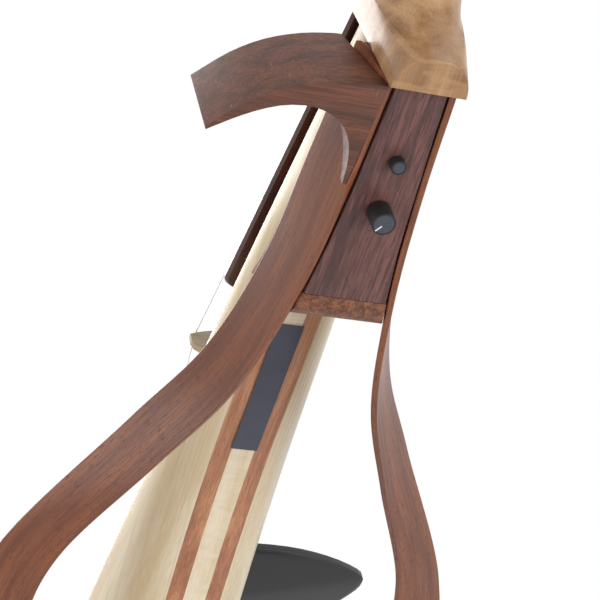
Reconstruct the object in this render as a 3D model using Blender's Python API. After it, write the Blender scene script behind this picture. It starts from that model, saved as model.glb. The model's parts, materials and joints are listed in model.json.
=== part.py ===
"""Electric violin with a laminated beam, a control block and two twisted walnut bands.

Frame: +X is the treble side, +Y points to the head and +Z to the strings. The instrument lies on
its back. Sizes are written from the heel: the heel cap is at Z = 0 and its flat edge at Y = 0.
At the end the whole model is moved so that the origin is at the bottom centre of its box.
"""
from math import atan, cos, pi, radians, sin, sqrt

import bmesh
import bpy
from mathutils import Matrix, Vector

for item in list(bpy.data.objects):
    bpy.data.objects.remove(item, do_unlink=True)

MM = 0.001
GAP = 0.3 * MM            # between glued or seated faces
RUN_GAP = 0.35 * MM       # round turning pieces

# Lengths along the body, measured from the heel
BODY_LENGTH = 353 * MM
BRIDGE_AT = 191.6 * MM
STRING_LENGTH = 328 * MM
BOARD_OVERHANG = 146.5 * MM

# Belly plane and fingerboard plane: height at the heel and fall towards the head
BELLY_HEIGHT = 48 * MM
BELLY_SLOPE = 0.076
NECK_HEIGHT = 51 * MM
NECK_SLOPE = 0.147

# Laminated beam
BEAM_HEAD_HALF = 14 * MM
BEAM_TAIL_HALF = 32.5 * MM
BEAM_FLARE = 0.25
BEAM_BACK = 41.2 * MM
BEAM_SEAT = 30 * MM
BEAM_SEAT_END = 66 * MM
BEAM_FREE_FROM = 112 * MM
BEAM_TAIL_DROP = 22 * MM
BEAM_DROP_FROM = 195 * MM
BEAM_SHOULDER = 2.6
BEAM_CORNER = 12 * MM
CORE_HALF = 4.8 * MM
STRIPE_WIDTH = 6.85 * MM

# Control block, its cover plate and lip
PLATE_HEIGHT = 5.6 * MM
PLATE_RISE = 0.0415
PLATE_LENGTH = 93.5 * MM
PLATE_THICKNESS = 2.4 * MM
PLATE_MARGIN = 0.55 * MM
BLOCK_LENGTH = 107 * MM
LIP_RADIUS = 9 * MM
BLOCK_WALL = 3.2 * MM
CAVITY_START = 12 * MM
CAVITY_END = 88 * MM

# Bands
BAND_THICKNESS = 2.6 * MM
BAND_SLANT = 1.04         # the bands splay in plan, which makes them thicker across
BAND_HEAD_HALF = 13.2 * MM
BAND_LIP_HALF = 19.6 * MM
BAND_FRONT_SPREAD = 7.6 * MM
BAND_WIDTH_AT_HEAD = 24 * MM
WAIST_AT = 150 * MM
LOWER_BOUT_AT = 275 * MM
LOWER_BOUT_HALF = 102.5 * MM
RIBBON_WIDTH = 25 * MM
RIBBON_HEIGHT = 7 * MM
BAND_TAIL_HEIGHT = 46 * MM

# Shoulder horn
HORN_REACH = 73 * MM
HORN_DROP = 30 * MM
HORN_FRONT = 37.5 * MM
HORN_BACK = 4.2 * MM

# Neck, heel and head
NECK_HALF_AT_HEEL = 17.6 * MM
NECK_HALF_AT_NUT = 12 * MM
NECK_DEPTH_AT_NUT = 13.2 * MM
NECK_DEPTH_AT_HEEL = 15.5 * MM
HEEL_HALF = 14.4 * MM
HEEL_DEPTH = 13.55 * MM
HEEL_THROAT = 24 * MM
PEGBOX_TILT = 9.0
PEGBOX_LENGTH = 74 * MM
PEGBOX_DEPTH = 19 * MM
PEGBOX_END_DEPTH = 17 * MM
PEGBOX_END_HALF = 9.4 * MM
PEGBOX_WALL = 4.6 * MM
PEGBOX_FLOOR = 4.2 * MM
SCROLL_RADIUS = 18 * MM
SCROLL_EYE_HALF = 20 * MM
SCROLL_THROAT_HALF = 8 * MM
SCROLL_STEPS = 6

# Fingerboard and nut
BOARD_END_HALF = 21.2 * MM
BOARD_EDGE = 5.6 * MM
BOARD_RADIUS = 42 * MM
NUT_LENGTH = 5 * MM
NUT_RISE = 0.7 * MM

# Strings: name, diameter and side, from the treble side to the bass side
STRINGS = (("e", 0.30, 1.5), ("a", 0.66, 0.5), ("d", 0.76, -0.5), ("g", 0.82, -1.5))
STRING_PITCH_AT_NUT = 5.5 * MM
STRING_PITCH_AT_BRIDGE = 11.4 * MM

# Pegs: string, distance from the nut and side
PEGS = (("g", 16, -1), ("e", 30, 1), ("d", 44, -1), ("a", 58, 1))
PEG_LEVEL = 0.36          # share of the pegbox depth above the axes
PEG_RADIUS = 3.9 * MM
PEG_TAPER = 0.6 * MM
PEG_SHANK_OUT = 11 * MM
PEG_COLLAR_RADIUS = 6 * MM
PEG_THUMB_LENGTH = 22 * MM
PEG_THUMB_HALF = 11 * MM
WIND_TURNS = 3.5
WIND_SPACE = 0.55 * MM

# Bridge and pickup
BRIDGE_HEIGHT = 33 * MM
BRIDGE_FOOT_HALF = 20.5 * MM
BRIDGE_BASE = 4.4 * MM
BRIDGE_TOP = 1.6 * MM
PICKUP_THICKNESS = 1.2 * MM

# Tailpiece, fine tuners, tailgut and end button
AFTERLENGTH = 56 * MM
TAILPIECE_LENGTH = 90 * MM
TAILPIECE_HEAD_HALF = 21 * MM
TAILPIECE_END_HALF = 11 * MM
TAILPIECE_EDGE = 4 * MM
TAILPIECE_ARCH = 4 * MM
TAILPIECE_HEAD_RISE = 16 * MM
TAILPIECE_TAIL_RISE = 5 * MM
TUNER_PITCH = 9.2 * MM
TUNER_SCREW_RADIUS = 1.1 * MM
TUNER_HEAD_RADIUS = 2.9 * MM
TUNER_HEAD_HEIGHT = 4.5 * MM
TUNER_BACK = 14 * MM
LEVER_THICKNESS = 1.2 * MM
LEVER_WIDTH = 3.6 * MM
GUT_RADIUS = 0.9 * MM
SADDLE_HALF = 13 * MM
SADDLE_HEIGHT = 3 * MM
BUTTON_RADIUS = 7 * MM
BUTTON_STEM_RADIUS = 3.2 * MM
BUTTON_DROP = 17 * MM

# Chin rest
CUP_RISE = 19 * MM
CUP_THICKNESS = 4.5 * MM
CUP_OUTER = 106 * MM
CUP_INNER = 17 * MM
CUP_HEAD = 309 * MM
CUP_TAIL = 372 * MM
POST_RADIUS = 2.6 * MM
POST_SPACING = 16 * MM
POST_BEHIND = 5.5 * MM
LEG_INSET = 4 * MM
LEG_LENGTH = 12 * MM
FOOT_REACH = 14 * MM
FOOT_LIP = 5 * MM
FOOT_THICKNESS = 3 * MM

# Controls
VOLUME_AT = 53.5 * MM
VOLUME_RADIUS = 4.6 * MM
VOLUME_HEIGHT = 9.1 * MM
SELECTOR_AT = 32.4 * MM
SELECTOR_RADIUS = 2.9 * MM
SELECTOR_HEIGHT = 4.0 * MM
KNOB_LIFT = 0.4 * MM
POT_RADIUS = 7.4 * MM
POT_HEIGHT = 7.5 * MM
SWITCH_RADIUS = 4 * MM
SWITCH_HEIGHT = 6 * MM
SHAFT_RADIUS = 2.2 * MM
SELECTOR_SHAFT_RADIUS = 1.2 * MM
JACK_BORE = 3.2 * MM
JACK_RADIUS = 4.6 * MM
JACK_LENGTH = 16 * MM
JACK_NUT_RADIUS = 6.4 * MM
JACK_NUT_HEIGHT = 2.2 * MM

# Blank plate on the beam's back
LABEL_HALF = 5.6 * MM
LABEL_START = 138 * MM
LABEL_END = 204.5 * MM
LABEL_THICKNESS = 0.5 * MM

ROOT = bpy.data.objects.new("violin_frame", None)
bpy.context.scene.collection.objects.link(ROOT)


def material(name, colour, roughness, metallic=0.0):
    """A Principled material, made once."""
    found = bpy.data.materials.get(name)
    if found:
        return found
    made = bpy.data.materials.new(name)
    made.use_nodes = True
    shader = made.node_tree.nodes["Principled BSDF"]
    shader.inputs["Base Color"].default_value = (*colour, 1)
    shader.inputs["Roughness"].default_value = roughness
    shader.inputs["Metallic"].default_value = metallic
    return made


WALNUT = material("walnut", (0.20, 0.07, 0.025), 0.45)
ROSEWOOD = material("rosewood", (0.035, 0.012, 0.012), 0.3)
SPRUCE = material("spruce", (0.88, 0.74, 0.52), 0.4)
MAHOGANY = material("mahogany", (0.50, 0.22, 0.13), 0.45)
MAPLE = material("maple", (0.72, 0.50, 0.28), 0.35)
BLACK = material("black_plastic", (0.012, 0.012, 0.014), 0.4)
EBONY = material("ebony", (0.02, 0.016, 0.014), 0.3)
LABEL = material("label_grey", (0.05, 0.055, 0.075), 0.5)
STEEL = material("steel", (0.62, 0.62, 0.64), 0.3, 1.0)
BRIDGE_WOOD = material("bridge_maple", (0.76, 0.58, 0.36), 0.45)


def frame(name, position, tilt):
    """An empty whose local Y axis runs along a plane that is tilted about X."""
    empty = bpy.data.objects.new(name, None)
    bpy.context.scene.collection.objects.link(empty)
    empty.parent = ROOT
    empty.location = position
    empty.rotation_euler = (tilt, 0, 0)
    empty.empty_display_size = 0.02
    return empty


BELLY_TILT = -atan(BELLY_SLOPE)
NECK_TILT = -atan(NECK_SLOPE)
PLATE_TILT = atan(PLATE_RISE)
BELLY = frame("belly_line", (0, 0, BELLY_HEIGHT), BELLY_TILT)
PLATE = frame("plate_line", (0, 0, PLATE_HEIGHT), PLATE_TILT)


def local_matrix(empty):
    return Matrix.Translation(empty.location) @ empty.rotation_euler.to_matrix().to_4x4()


BELLY_M = local_matrix(BELLY)


def make(name, bm, slot, parent=ROOT, smooth=30):
    """Turn a bmesh into a named object with its material, faces out."""
    bmesh.ops.remove_doubles(bm, verts=bm.verts, dist=1e-7)
    bmesh.ops.recalc_face_normals(bm, faces=bm.faces)
    mesh = bpy.data.meshes.new(name)
    bm.to_mesh(mesh)
    bm.free()
    if smooth:
        mesh.shade_smooth()
        mesh.set_sharp_from_angle(angle=radians(smooth))
    mesh.materials.append(slot)
    obj = bpy.data.objects.new(name, mesh)
    bpy.context.scene.collection.objects.link(obj)
    obj.parent = parent
    return obj


def boolean(obj, other, kind="DIFFERENCE"):
    """Cut or join with a helper body that the build leaves out."""
    other.hide_render = True
    other.display_type = "WIRE"
    change = obj.modifiers.new(other.name, "BOOLEAN")
    change.object = other
    change.operation = kind
    change.solver = "EXACT"
    return obj


def skin(rings, bm=None, closed=False):
    """Faces over rings of points, with flat caps unless the rings close on themselves."""
    bm = bm or bmesh.new()
    rows = [[bm.verts.new(p) for p in ring] for ring in rings]
    pairs = list(zip(rows, rows[1:]))
    if closed:
        pairs.append((rows[-1], rows[0]))
    for low, high in pairs:
        for k in range(len(low)):
            n = (k + 1) % len(low)
            bm.faces.new((low[k], low[n], high[n], high[k]))
    if not closed:
        bm.faces.new(list(reversed(rows[0])))
        bm.faces.new(rows[-1])
    return bm


def prism(outline, low, high, axis="Z"):
    """An outline pushed along one axis."""
    def place(a, b, c):
        return {"Z": (a, b, c), "Y": (a, c, b), "X": (c, a, b)}[axis]
    return skin([[place(a, b, low) for a, b in outline], [place(a, b, high) for a, b in outline]])


def turned(profile, steps=24, axis="Z", centre=(0, 0, 0)):
    """A profile of (distance along the axis, radius) turned round the axis."""
    rings = []
    for along, radius in profile:
        ring = []
        for k in range(steps):
            angle = 2 * pi * k / steps
            a, b = radius * cos(angle), radius * sin(angle)
            point = {"Z": (a, b, along), "Y": (b, along, a), "X": (along, a, b)}[axis]
            ring.append(Vector(point) + Vector(centre))
        rings.append(ring)
    return skin(rings)


def hollow_turned(profile, steps=24, axis="Z", centre=(0, 0, 0)):
    """A closed profile loop turned round the axis, open along it."""
    rings = []
    for k in range(steps):
        angle = 2 * pi * k / steps
        ring = []
        for along, radius in profile:
            a, b = radius * cos(angle), radius * sin(angle)
            point = {"Z": (a, b, along), "Y": (b, along, a), "X": (along, a, b)}[axis]
            ring.append(Vector(point) + Vector(centre))
        rings.append(ring)
    return skin(rings, closed=True)


def tube(name, points, radius, slot, parent=ROOT, resolution=1):
    """A round tube along points, with filled ends."""
    curve = bpy.data.curves.new(name, "CURVE")
    curve.dimensions = "3D"
    curve.bevel_depth = radius
    curve.bevel_resolution = resolution
    curve.use_fill_caps = True
    spline = curve.splines.new("POLY")
    spline.points.add(len(points) - 1)
    for spot, point in zip(spline.points, points):
        spot.co = (*point, 1)
    curve.materials.append(slot)
    obj = bpy.data.objects.new(name, curve)
    bpy.context.scene.collection.objects.link(obj)
    obj.parent = parent
    return obj


def mix(a, b, t):
    return a + (b - a) * t


def ease(t):
    t = min(1.0, max(0.0, t))
    return t * t * (3 - 2 * t)


def belly_z(y):
    return BELLY_HEIGHT - BELLY_SLOPE * y


def board_z(y):
    return NECK_HEIGHT - NECK_SLOPE * y


def plate_z(y):
    return PLATE_HEIGHT + PLATE_RISE * y


def beam_half(y):
    s = -y / BODY_LENGTH
    half = mix(BEAM_HEAD_HALF, BEAM_TAIL_HALF, s * (1 + BEAM_FLARE) - BEAM_FLARE * s * s)
    past = y + BODY_LENGTH
    if past < BEAM_CORNER:
        half -= BEAM_CORNER - sqrt(max(0, BEAM_CORNER ** 2 - (BEAM_CORNER - past) ** 2))
    return half


def beam_back(y):
    seat = ease((-y - BEAM_SEAT_END) / (BEAM_FREE_FROM - BEAM_SEAT_END))
    back = mix(BEAM_SEAT, BEAM_BACK, seat)
    tail = max(0, -y - BEAM_DROP_FROM) / (BODY_LENGTH - BEAM_DROP_FROM)
    return back - BEAM_TAIL_DROP * tail ** 1.75


def beam_surface(x, y):
    """Height of the beam's back at a point, with its rounded shoulders."""
    half = beam_half(y)
    share = min(1.0, abs(x) / half)
    depth = (belly_z(y) - beam_back(y)) * (1 - share ** BEAM_SHOULDER) ** (1 / BEAM_SHOULDER)
    return belly_z(y) - depth


def beam_stations():
    ends = [-GAP, -BEAM_SEAT_END * 0.5, -BEAM_SEAT_END]
    ramp = [mix(-BEAM_SEAT_END, -BEAM_FREE_FROM, k / 4) for k in range(1, 5)]
    run = [mix(-BEAM_FREE_FROM, -(BODY_LENGTH - BEAM_CORNER), k / 9) for k in range(1, 10)]
    corner = [-(BODY_LENGTH - BEAM_CORNER * (1 - sin(pi / 2 * k / 4))) for k in range(1, 5)]
    return ends + ramp + run + corner


def lamination(name, inner, outer, side, slot):
    """One board of the beam between two glue planes, or out to the beam's side."""
    rings = []
    for y in beam_stations():
        half = beam_half(y)
        edge = half if outer is None else outer
        steps = 8 if outer is None else 3
        back = []
        for k in range(steps + 1):
            t = k / steps
            share = sin(pi / 2 * t) if outer is None else t
            x = mix(inner, edge, share)
            back.append((side * x, y, beam_surface(x, y)))
        front = belly_z(y)
        back[-1] = (side * edge, y, min(back[-1][2], front - 2 * MM))
        rings.append(back + [(side * edge, y, front), (side * inner, y, front)])
    return make(name, skin(rings), slot)


def build_beam():
    stripe = CORE_HALF + GAP
    spruce = stripe + STRIPE_WIDTH + GAP
    core = []
    for y in beam_stations():
        back = [(mix(-CORE_HALF, CORE_HALF, k / 4), y) for k in range(5)]
        ring = [(x, y, beam_surface(x, y)) for x, y in back]
        core.append(ring + [(CORE_HALF, y, belly_z(y)), (-CORE_HALF, y, belly_z(y))])
    maple = make("beam_core", skin(core), MAPLE)
    for side, word in ((1, "treble"), (-1, "bass")):
        lamination(f"beam_stripe_{word}", stripe, stripe + STRIPE_WIDTH, side, MAHOGANY)
        lamination(f"beam_side_{word}", spruce, None, side, SPRUCE)
    y = -BODY_LENGTH
    z = belly_z(y) - BUTTON_DROP
    stem = turned(((y - 5 * MM, BUTTON_STEM_RADIUS + GAP), (y + 20 * MM, BUTTON_STEM_RADIUS + GAP)),
                  16, "Y", (0, 0, z))
    boolean(maple, make("button_hole", stem, EBONY))


def spline(points, steps):
    """A smooth curve through its points, each span with the same number of steps."""
    padded = [2 * points[0] - points[1], *points, 2 * points[-1] - points[-2]]
    out = []
    for k in range(1, len(padded) - 2):
        a, b, c, d = padded[k - 1:k + 3]
        for n in range(steps):
            t = n / steps
            out.append(0.5 * ((2 * b) + (c - a) * t + (2 * a - 5 * b + 4 * c - d) * t * t
                              + (3 * b - a - 3 * c + d) * t ** 3))
    out.append(points[-1].copy())
    return out


def band_lines():
    """Back edge and front edge of the treble band's outer face, head to tail."""
    lip = BLOCK_LENGTH - 14 * MM
    rise = BAND_WIDTH_AT_HEAD
    tail_z = BAND_TAIL_HEIGHT
    seat = BEAM_TAIL_HALF - 3 * MM
    bout = LOWER_BOUT_HALF
    back = [
        Vector((BAND_HEAD_HALF, -GAP, plate_z(0))),
        Vector((mix(BAND_HEAD_HALF, BAND_LIP_HALF, 0.3), -lip / 2, plate_z(-lip / 2))),
        Vector((BAND_LIP_HALF, -lip, plate_z(-lip))),
        Vector((BAND_LIP_HALF + 10.4 * MM, -WAIST_AT + 6 * MM, RIBBON_HEIGHT * 0.3)),
        Vector((bout * 0.48, -WAIST_AT - 38 * MM, RIBBON_HEIGHT * 0.6)),
        Vector((bout - RIBBON_WIDTH - 4 * MM, -LOWER_BOUT_AT + 35 * MM, RIBBON_HEIGHT * 0.8)),
        Vector((bout - RIBBON_WIDTH, -LOWER_BOUT_AT - 5 * MM, RIBBON_HEIGHT)),
        Vector((bout * 0.60, -BODY_LENGTH + 36 * MM, RIBBON_HEIGHT * 2.2)),
        Vector((seat - 8 * MM, -BODY_LENGTH + 29 * MM, tail_z - 10 * MM)),
    ]
    front = [
        Vector((BAND_HEAD_HALF + BAND_FRONT_SPREAD, -GAP, plate_z(0) + rise)),
        Vector((BAND_HEAD_HALF + BAND_FRONT_SPREAD + 3.2 * MM, -lip / 2, plate_z(-lip / 2) + rise)),
        Vector((BAND_LIP_HALF + BAND_FRONT_SPREAD, -lip, plate_z(-lip) + rise)),
        Vector((BAND_LIP_HALF + 18.6 * MM, -WAIST_AT + 12 * MM, 22.5 * MM)),
        Vector((bout * 0.58, -WAIST_AT - 28 * MM, 20.5 * MM)),
        Vector((bout - 7 * MM, -LOWER_BOUT_AT + 32 * MM, RIBBON_HEIGHT + 8 * MM)),
        Vector((bout, -LOWER_BOUT_AT - 14 * MM, RIBBON_HEIGHT + 4 * MM)),
        Vector((bout * 0.70, -BODY_LENGTH + 11 * MM, RIBBON_HEIGHT * 2.2 + 4 * MM)),
        Vector((seat - 6 * MM, -BODY_LENGTH + 9 * MM, tail_z)),
    ]
    return spline(back, 5), spline(front, 5)


def band_section(k, back, front, grow=0.0):
    """The band's four corners at one station; grow fattens it for cutting its neighbours."""
    low, high = back[k], front[k]
    n, p = min(k + 1, len(back) - 1), max(k - 1, 0)
    along = ((back[n] - back[p]) + (front[n] - front[p])).normalized()
    across = (high - low).normalized()
    inward = along.cross(across).normalized()
    if inward.x > 0 and k < 25:
        inward = -inward
    if k >= 25 and inward.z < 0:
        inward = -inward
    low, high = low - across * grow, high + across * grow
    out = -inward * grow
    deep = inward * (BAND_THICKNESS + grow)
    return [low + out, high + out, high + deep, low + deep]


def band_rings(grow=0.0):
    back, front = band_lines()
    return [band_section(k, back, front, grow) for k in range(len(back))]


def flipped(rings, side):
    return [[Vector((side * p.x, p.y, p.z)) for p in ring] for ring in rings]


def beam_envelope(grow):
    """The whole beam's outline over its tail half, a little fatter, for cutting the band ends."""
    rings = []
    for y in [mix(-BEAM_DROP_FROM, -(BODY_LENGTH - BEAM_CORNER), k / 6) for k in range(7)] + [
            -(BODY_LENGTH - BEAM_CORNER * (1 - sin(pi / 2 * k / 4))) - grow * k / 4 for k in range(1, 5)]:
        at = max(y, -BODY_LENGTH)
        half, top, deep = beam_half(at), belly_z(at), belly_z(at) - beam_back(at)
        ring = [((half + grow) * cos(pi * k / 20), y, top - deep * unit_depth(cos(pi * k / 20)) - grow)
                for k in range(21)]
        rings.append(ring + [(-half - grow, y, top + grow), (half + grow, y, top + grow)])
    return skin(rings)


def unit_depth(share):
    """Depth of the rounded back as a share of the full depth."""
    return max(0.0, 1 - min(1.0, abs(share)) ** BEAM_SHOULDER) ** (1 / BEAM_SHOULDER)


def build_bands():
    envelope = make("beam_envelope", beam_envelope(GAP), WALNUT)
    for side, word in ((1, "treble"), (-1, "bass")):
        band = make(f"band_{word}", skin(flipped(band_rings(), side)), WALNUT, smooth=40)
        boolean(band, envelope)


def line_at(line, y):
    """The point where a band edge passes a place along the body."""
    for p, q in zip(line, line[1:]):
        if p.y >= y >= q.y:
            return p.lerp(q, (p.y - y) / (p.y - q.y))
    return line[0] if y > line[0].y else line[-1]


def band_inside(y, z):
    """Half-width that is free between the bands beside the block."""
    back, front = band_lines()
    low, high = line_at(back, y), line_at(front, y)
    share = (z - low.z) / (high.z - low.z)
    lean = (high.x - low.x) / (high.z - low.z)
    slant = BAND_SLANT * sqrt(1 + lean * lean)
    return mix(low.x, high.x, share) - (BAND_THICKNESS + GAP) * slant


def block_rings(start, end, low, high, inset, steps):
    """Sections between the bands, from a start to an end length."""
    rings = []
    for k in range(steps + 1):
        y = -mix(start, end, k / steps)
        bottom, top = low(y), high
        half_low, half_top = band_inside(y, bottom) - inset, band_inside(y, top) - inset
        rings.append([(half_low, y, bottom), (half_top, y, top), (-half_top, y, top),
                      (-half_low, y, bottom)])
    return rings


def build_block():
    top = BEAM_SEAT - GAP
    lip_start = PLATE_LENGTH + GAP

    def back(y):
        if -y <= lip_start:
            return plate_z(y) + PLATE_THICKNESS + GAP
        past = max(0.0, -y - (BLOCK_LENGTH - LIP_RADIUS))
        return plate_z(y) + LIP_RADIUS - sqrt(max(0.0, LIP_RADIUS ** 2 - past ** 2))

    rings = block_rings(GAP, lip_start, back, top, 0, 4)
    step = lip_start + 0.01 * MM
    rings += block_rings(step, BLOCK_LENGTH - LIP_RADIUS, back, top, 0, 1)
    for k in range(1, 7):
        y = -(BLOCK_LENGTH - LIP_RADIUS + LIP_RADIUS * sin(pi / 2 * k / 6))
        half_low, half_top = band_inside(y, back(y)), band_inside(y, top)
        rings.append([(half_low, y, back(y)), (half_top, y, top), (-half_top, y, top),
                      (-half_low, y, back(y))])
    block = make("control_block", skin(rings), WALNUT)

    def floor(y):
        return plate_z(y) - 1 * MM

    cavity = skin(block_rings(CAVITY_START, CAVITY_END, floor, top - BLOCK_WALL, BLOCK_WALL, 1))
    boolean(block, make("control_cavity", cavity, WALNUT))
    z = jack_height()
    bore = turned(((-BLOCK_LENGTH - 5 * MM, JACK_RADIUS + GAP), (-CAVITY_END + 5 * MM, JACK_RADIUS + GAP)),
                  20, "Y", (0, 0, z))
    boolean(block, make("jack_hole", bore, WALNUT))


def jack_height():
    return (plate_z(-BLOCK_LENGTH) + LIP_RADIUS + BEAM_SEAT) / 2 - 1 * MM


def build_plate():
    rings = []
    for k in range(5):
        y = -mix(GAP + 1 * MM, PLATE_LENGTH, k / 4)
        half = band_inside(y, plate_z(y) + PLATE_THICKNESS / 2) - PLATE_MARGIN
        low = plate_z(y)
        edge = 0.4 * MM
        rings.append([(half - edge, y, low), (half, y, low + edge), (half, y, low + PLATE_THICKNESS),
                      (-half, y, low + PLATE_THICKNESS), (-half, y, low + edge), (-half + edge, y, low)])
    plate = make("control_plate", skin(rings), WALNUT)
    for name, at, radius in (("volume", VOLUME_AT, SHAFT_RADIUS), ("selector", SELECTOR_AT, SELECTOR_SHAFT_RADIUS)):
        hole = turned(((-3 * MM, radius + RUN_GAP), (PLATE_THICKNESS + 3 * MM, radius + RUN_GAP)), 20)
        cutter = make(f"{name}_hole", hole, WALNUT, PLATE)
        cutter.location = (0, -at, 0)
        boolean(plate, cutter)


def build_control(name, at, radius, height, shaft, body_name, body_radius, body_height):
    """A knob on its shaft, and the pot or switch behind the plate."""
    top = -KNOB_LIFT
    bevel = 0.5 * MM
    bore = shaft + 0.1 * MM
    depth = height * 0.7
    cap = hollow_bored(top, height, radius, bevel, bore, depth)
    knob = make(f"{name}_knob", cap, BLACK, PLATE)
    knob.location = (0, -at, 0)
    under = PLATE_THICKNESS + GAP
    stem = turned(((top - depth + 0.2 * MM, shaft), (under + 1.5 * MM, shaft)), 16)
    axle = make(f"{name}_shaft", stem, STEEL, PLATE)
    axle.location = (0, -at, 0)
    well = shaft + 0.3 * MM
    can = turned(((under, body_radius), (under + body_height, body_radius)), 20)
    body = make(body_name, can, BLACK, PLATE)
    body.location = (0, -at, 0)
    hole = make(f"{body_name}_well", turned(((under - 1 * MM, well), (under + 1.5 * MM + GAP, well)), 16),
                BLACK, PLATE)
    hole.location = (0, -at, 0)
    boolean(body, hole)


def hollow_bored(top, height, radius, bevel, bore, depth):
    """A knob with a blind bore from the plate side."""
    steps = 24
    low = top - height
    profile = [(top - depth, bore), (top, bore), (top, radius), (low + bevel, radius), (low, radius - bevel)]
    rings = []
    for along, r in profile:
        rings.append([(r * cos(2 * pi * k / steps), r * sin(2 * pi * k / steps), along) for k in range(steps)])
    return skin(rings)


def build_jack():
    z = jack_height()
    face = -BLOCK_LENGTH - GAP
    wall = [(face + JACK_LENGTH, JACK_BORE), (face - JACK_NUT_HEIGHT - 1 * MM, JACK_BORE),
            (face - JACK_NUT_HEIGHT - 1 * MM, JACK_RADIUS), (face + JACK_LENGTH, JACK_RADIUS)]
    make("jack_socket", hollow_turned(wall, 20, "Y", (0, 0, z)), BLACK)
    inner = JACK_RADIUS + GAP
    nut = [(face, inner), (face - JACK_NUT_HEIGHT, inner), (face - JACK_NUT_HEIGHT, JACK_NUT_RADIUS),
           (face, JACK_NUT_RADIUS)]
    make("jack_nut", hollow_turned(nut, 20, "Y", (0, 0, z)), STEEL)


def horn_outline():
    """The horn's outer sweep from the heel to the tip, then back along its inner arc."""
    outer = [Vector((BAND_HEAD_HALF + 1 * MM, -2.2 * MM)), Vector((26 * MM, -3.2 * MM)),
             Vector((38.5 * MM, -5.5 * MM)), Vector((51 * MM, -10.4 * MM)),
             Vector((62 * MM, -18.2 * MM)), Vector((HORN_REACH, -HORN_DROP))]
    inner = [Vector((HORN_REACH - 0.6 * MM, -HORN_DROP - 1 * MM)), Vector((65 * MM, -25.5 * MM)),
             Vector((57.4 * MM, -20.6 * MM)), Vector((49.2 * MM, -16.8 * MM)),
             Vector((41 * MM, -15.2 * MM)), Vector((33.4 * MM, -15.9 * MM)),
             Vector((26.5 * MM, -19 * MM)), Vector((21.5 * MM, -24.5 * MM)),
             Vector((18.8 * MM, -31 * MM)), Vector((17.4 * MM, -38 * MM)),
             Vector((16.8 * MM, -45.2 * MM))]
    return spline(outer, 3) + spline(inner, 2) + [Vector((8 * MM, -45.2 * MM)), Vector((8 * MM, -2.2 * MM))]


def build_horn():
    outline = [(p.x, p.y) for p in horn_outline()]
    horn = make("shoulder_horn", prism(outline, HORN_BACK, HORN_FRONT), WALNUT)
    rings = band_rings(GAP)[:14]
    inside = []
    for ring in rings:
        low_out, high_out, high_in, low_in = ring
        shift = Vector((-22 * MM, 0, 0))
        down, up = Vector((0, 0, -6 * MM)), Vector((0, 0, 12 * MM))
        slope = (high_out - low_out) / max(1e-6, (high_out - low_out).z)
        low_far, high_far = low_out + slope * down.z, high_out + slope * up.z
        inside.append([low_far, high_far, high_far + shift, low_far + shift])
    first = [p + Vector((0, 6 * MM, 0)) for p in inside[0]]
    boolean(horn, make("horn_seat", skin([first, *inside]), WALNUT))


def build_label():
    rings = []
    steps = 8
    for k in range(steps + 1):
        y = -mix(LABEL_START, LABEL_END, k / steps)
        ring = []
        for x in (-LABEL_HALF, 0, LABEL_HALF):
            ring.append((x, y, beam_back(y) - GAP - LABEL_THICKNESS))
        for x in (LABEL_HALF, -LABEL_HALF):
            ring.append((x, y, beam_back(y) - GAP))
        rings.append(ring)
    make("blank_label", skin(rings), LABEL)


def neck_half(y):
    nut_y = BRIDGE_TO_NUT - BRIDGE_AT
    return mix(NECK_HALF_AT_HEEL, NECK_HALF_AT_NUT, min(1, y / nut_y))


BRIDGE_TO_NUT = STRING_LENGTH * cos(NECK_TILT)
NUT_Y = BRIDGE_TO_NUT - BRIDGE_AT


def neck_rings():
    throat_end = HEEL_DEPTH + HEEL_THROAT
    stations = [HEEL_DEPTH * sin(pi / 2 * k / 5) for k in range(6)]
    stations += [HEEL_DEPTH + HEEL_THROAT * (1 - cos(pi / 2 * k / 7)) for k in range(1, 8)]
    stations += [mix(throat_end, NUT_Y + 4 * MM, k / 5) for k in range(1, 6)]
    rings = []
    rows = 9
    for y in stations:
        top = board_z(y)
        share = min(1, max(0, (y - throat_end) / (NUT_Y - throat_end)))
        under = top - mix(NECK_DEPTH_AT_HEEL, NECK_DEPTH_AT_NUT, share)
        cap = HEEL_HALF * sqrt(max(0, 1 - (y / HEEL_DEPTH) ** 2)) if y < HEEL_DEPTH else 0
        cap = max(cap, 0.8 * MM)
        if y <= HEEL_DEPTH:
            bottom = 0.0
        elif y < throat_end:
            u = (y - HEEL_DEPTH) / HEEL_THROAT
            bottom = under * sqrt(1 - (1 - u) ** 2)
        else:
            bottom = under
        power = mix(1.0, 2.0, min(1, y / HEEL_DEPTH))
        half = neck_half(y)
        side = []
        for k in range(rows + 1):
            v = 1 - cos(pi / 2 * k / rows)
            width = cap + (half - cap) * (1 - (1 - v) ** power) ** (1 / power)
            side.append((width, y, mix(bottom, top, v)))
        rings.append(side + [(-x, a, b) for x, a, b in reversed(side)])
    return rings


def pegbox_matrix():
    """From pegbox coordinates (across, along from the nut, up) to the body frame."""
    start = Matrix.Translation((0, NUT_Y, board_z(NUT_Y)))
    return start @ Matrix.Rotation(NECK_TILT - radians(PEGBOX_TILT), 4, "X")


def pegbox_half(s):
    return mix(NECK_HALF_AT_NUT, PEGBOX_END_HALF, s / PEGBOX_LENGTH)


def pegbox_depth(s):
    t = s / PEGBOX_LENGTH
    return mix(PEGBOX_DEPTH, PEGBOX_END_DEPTH, t)


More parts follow.
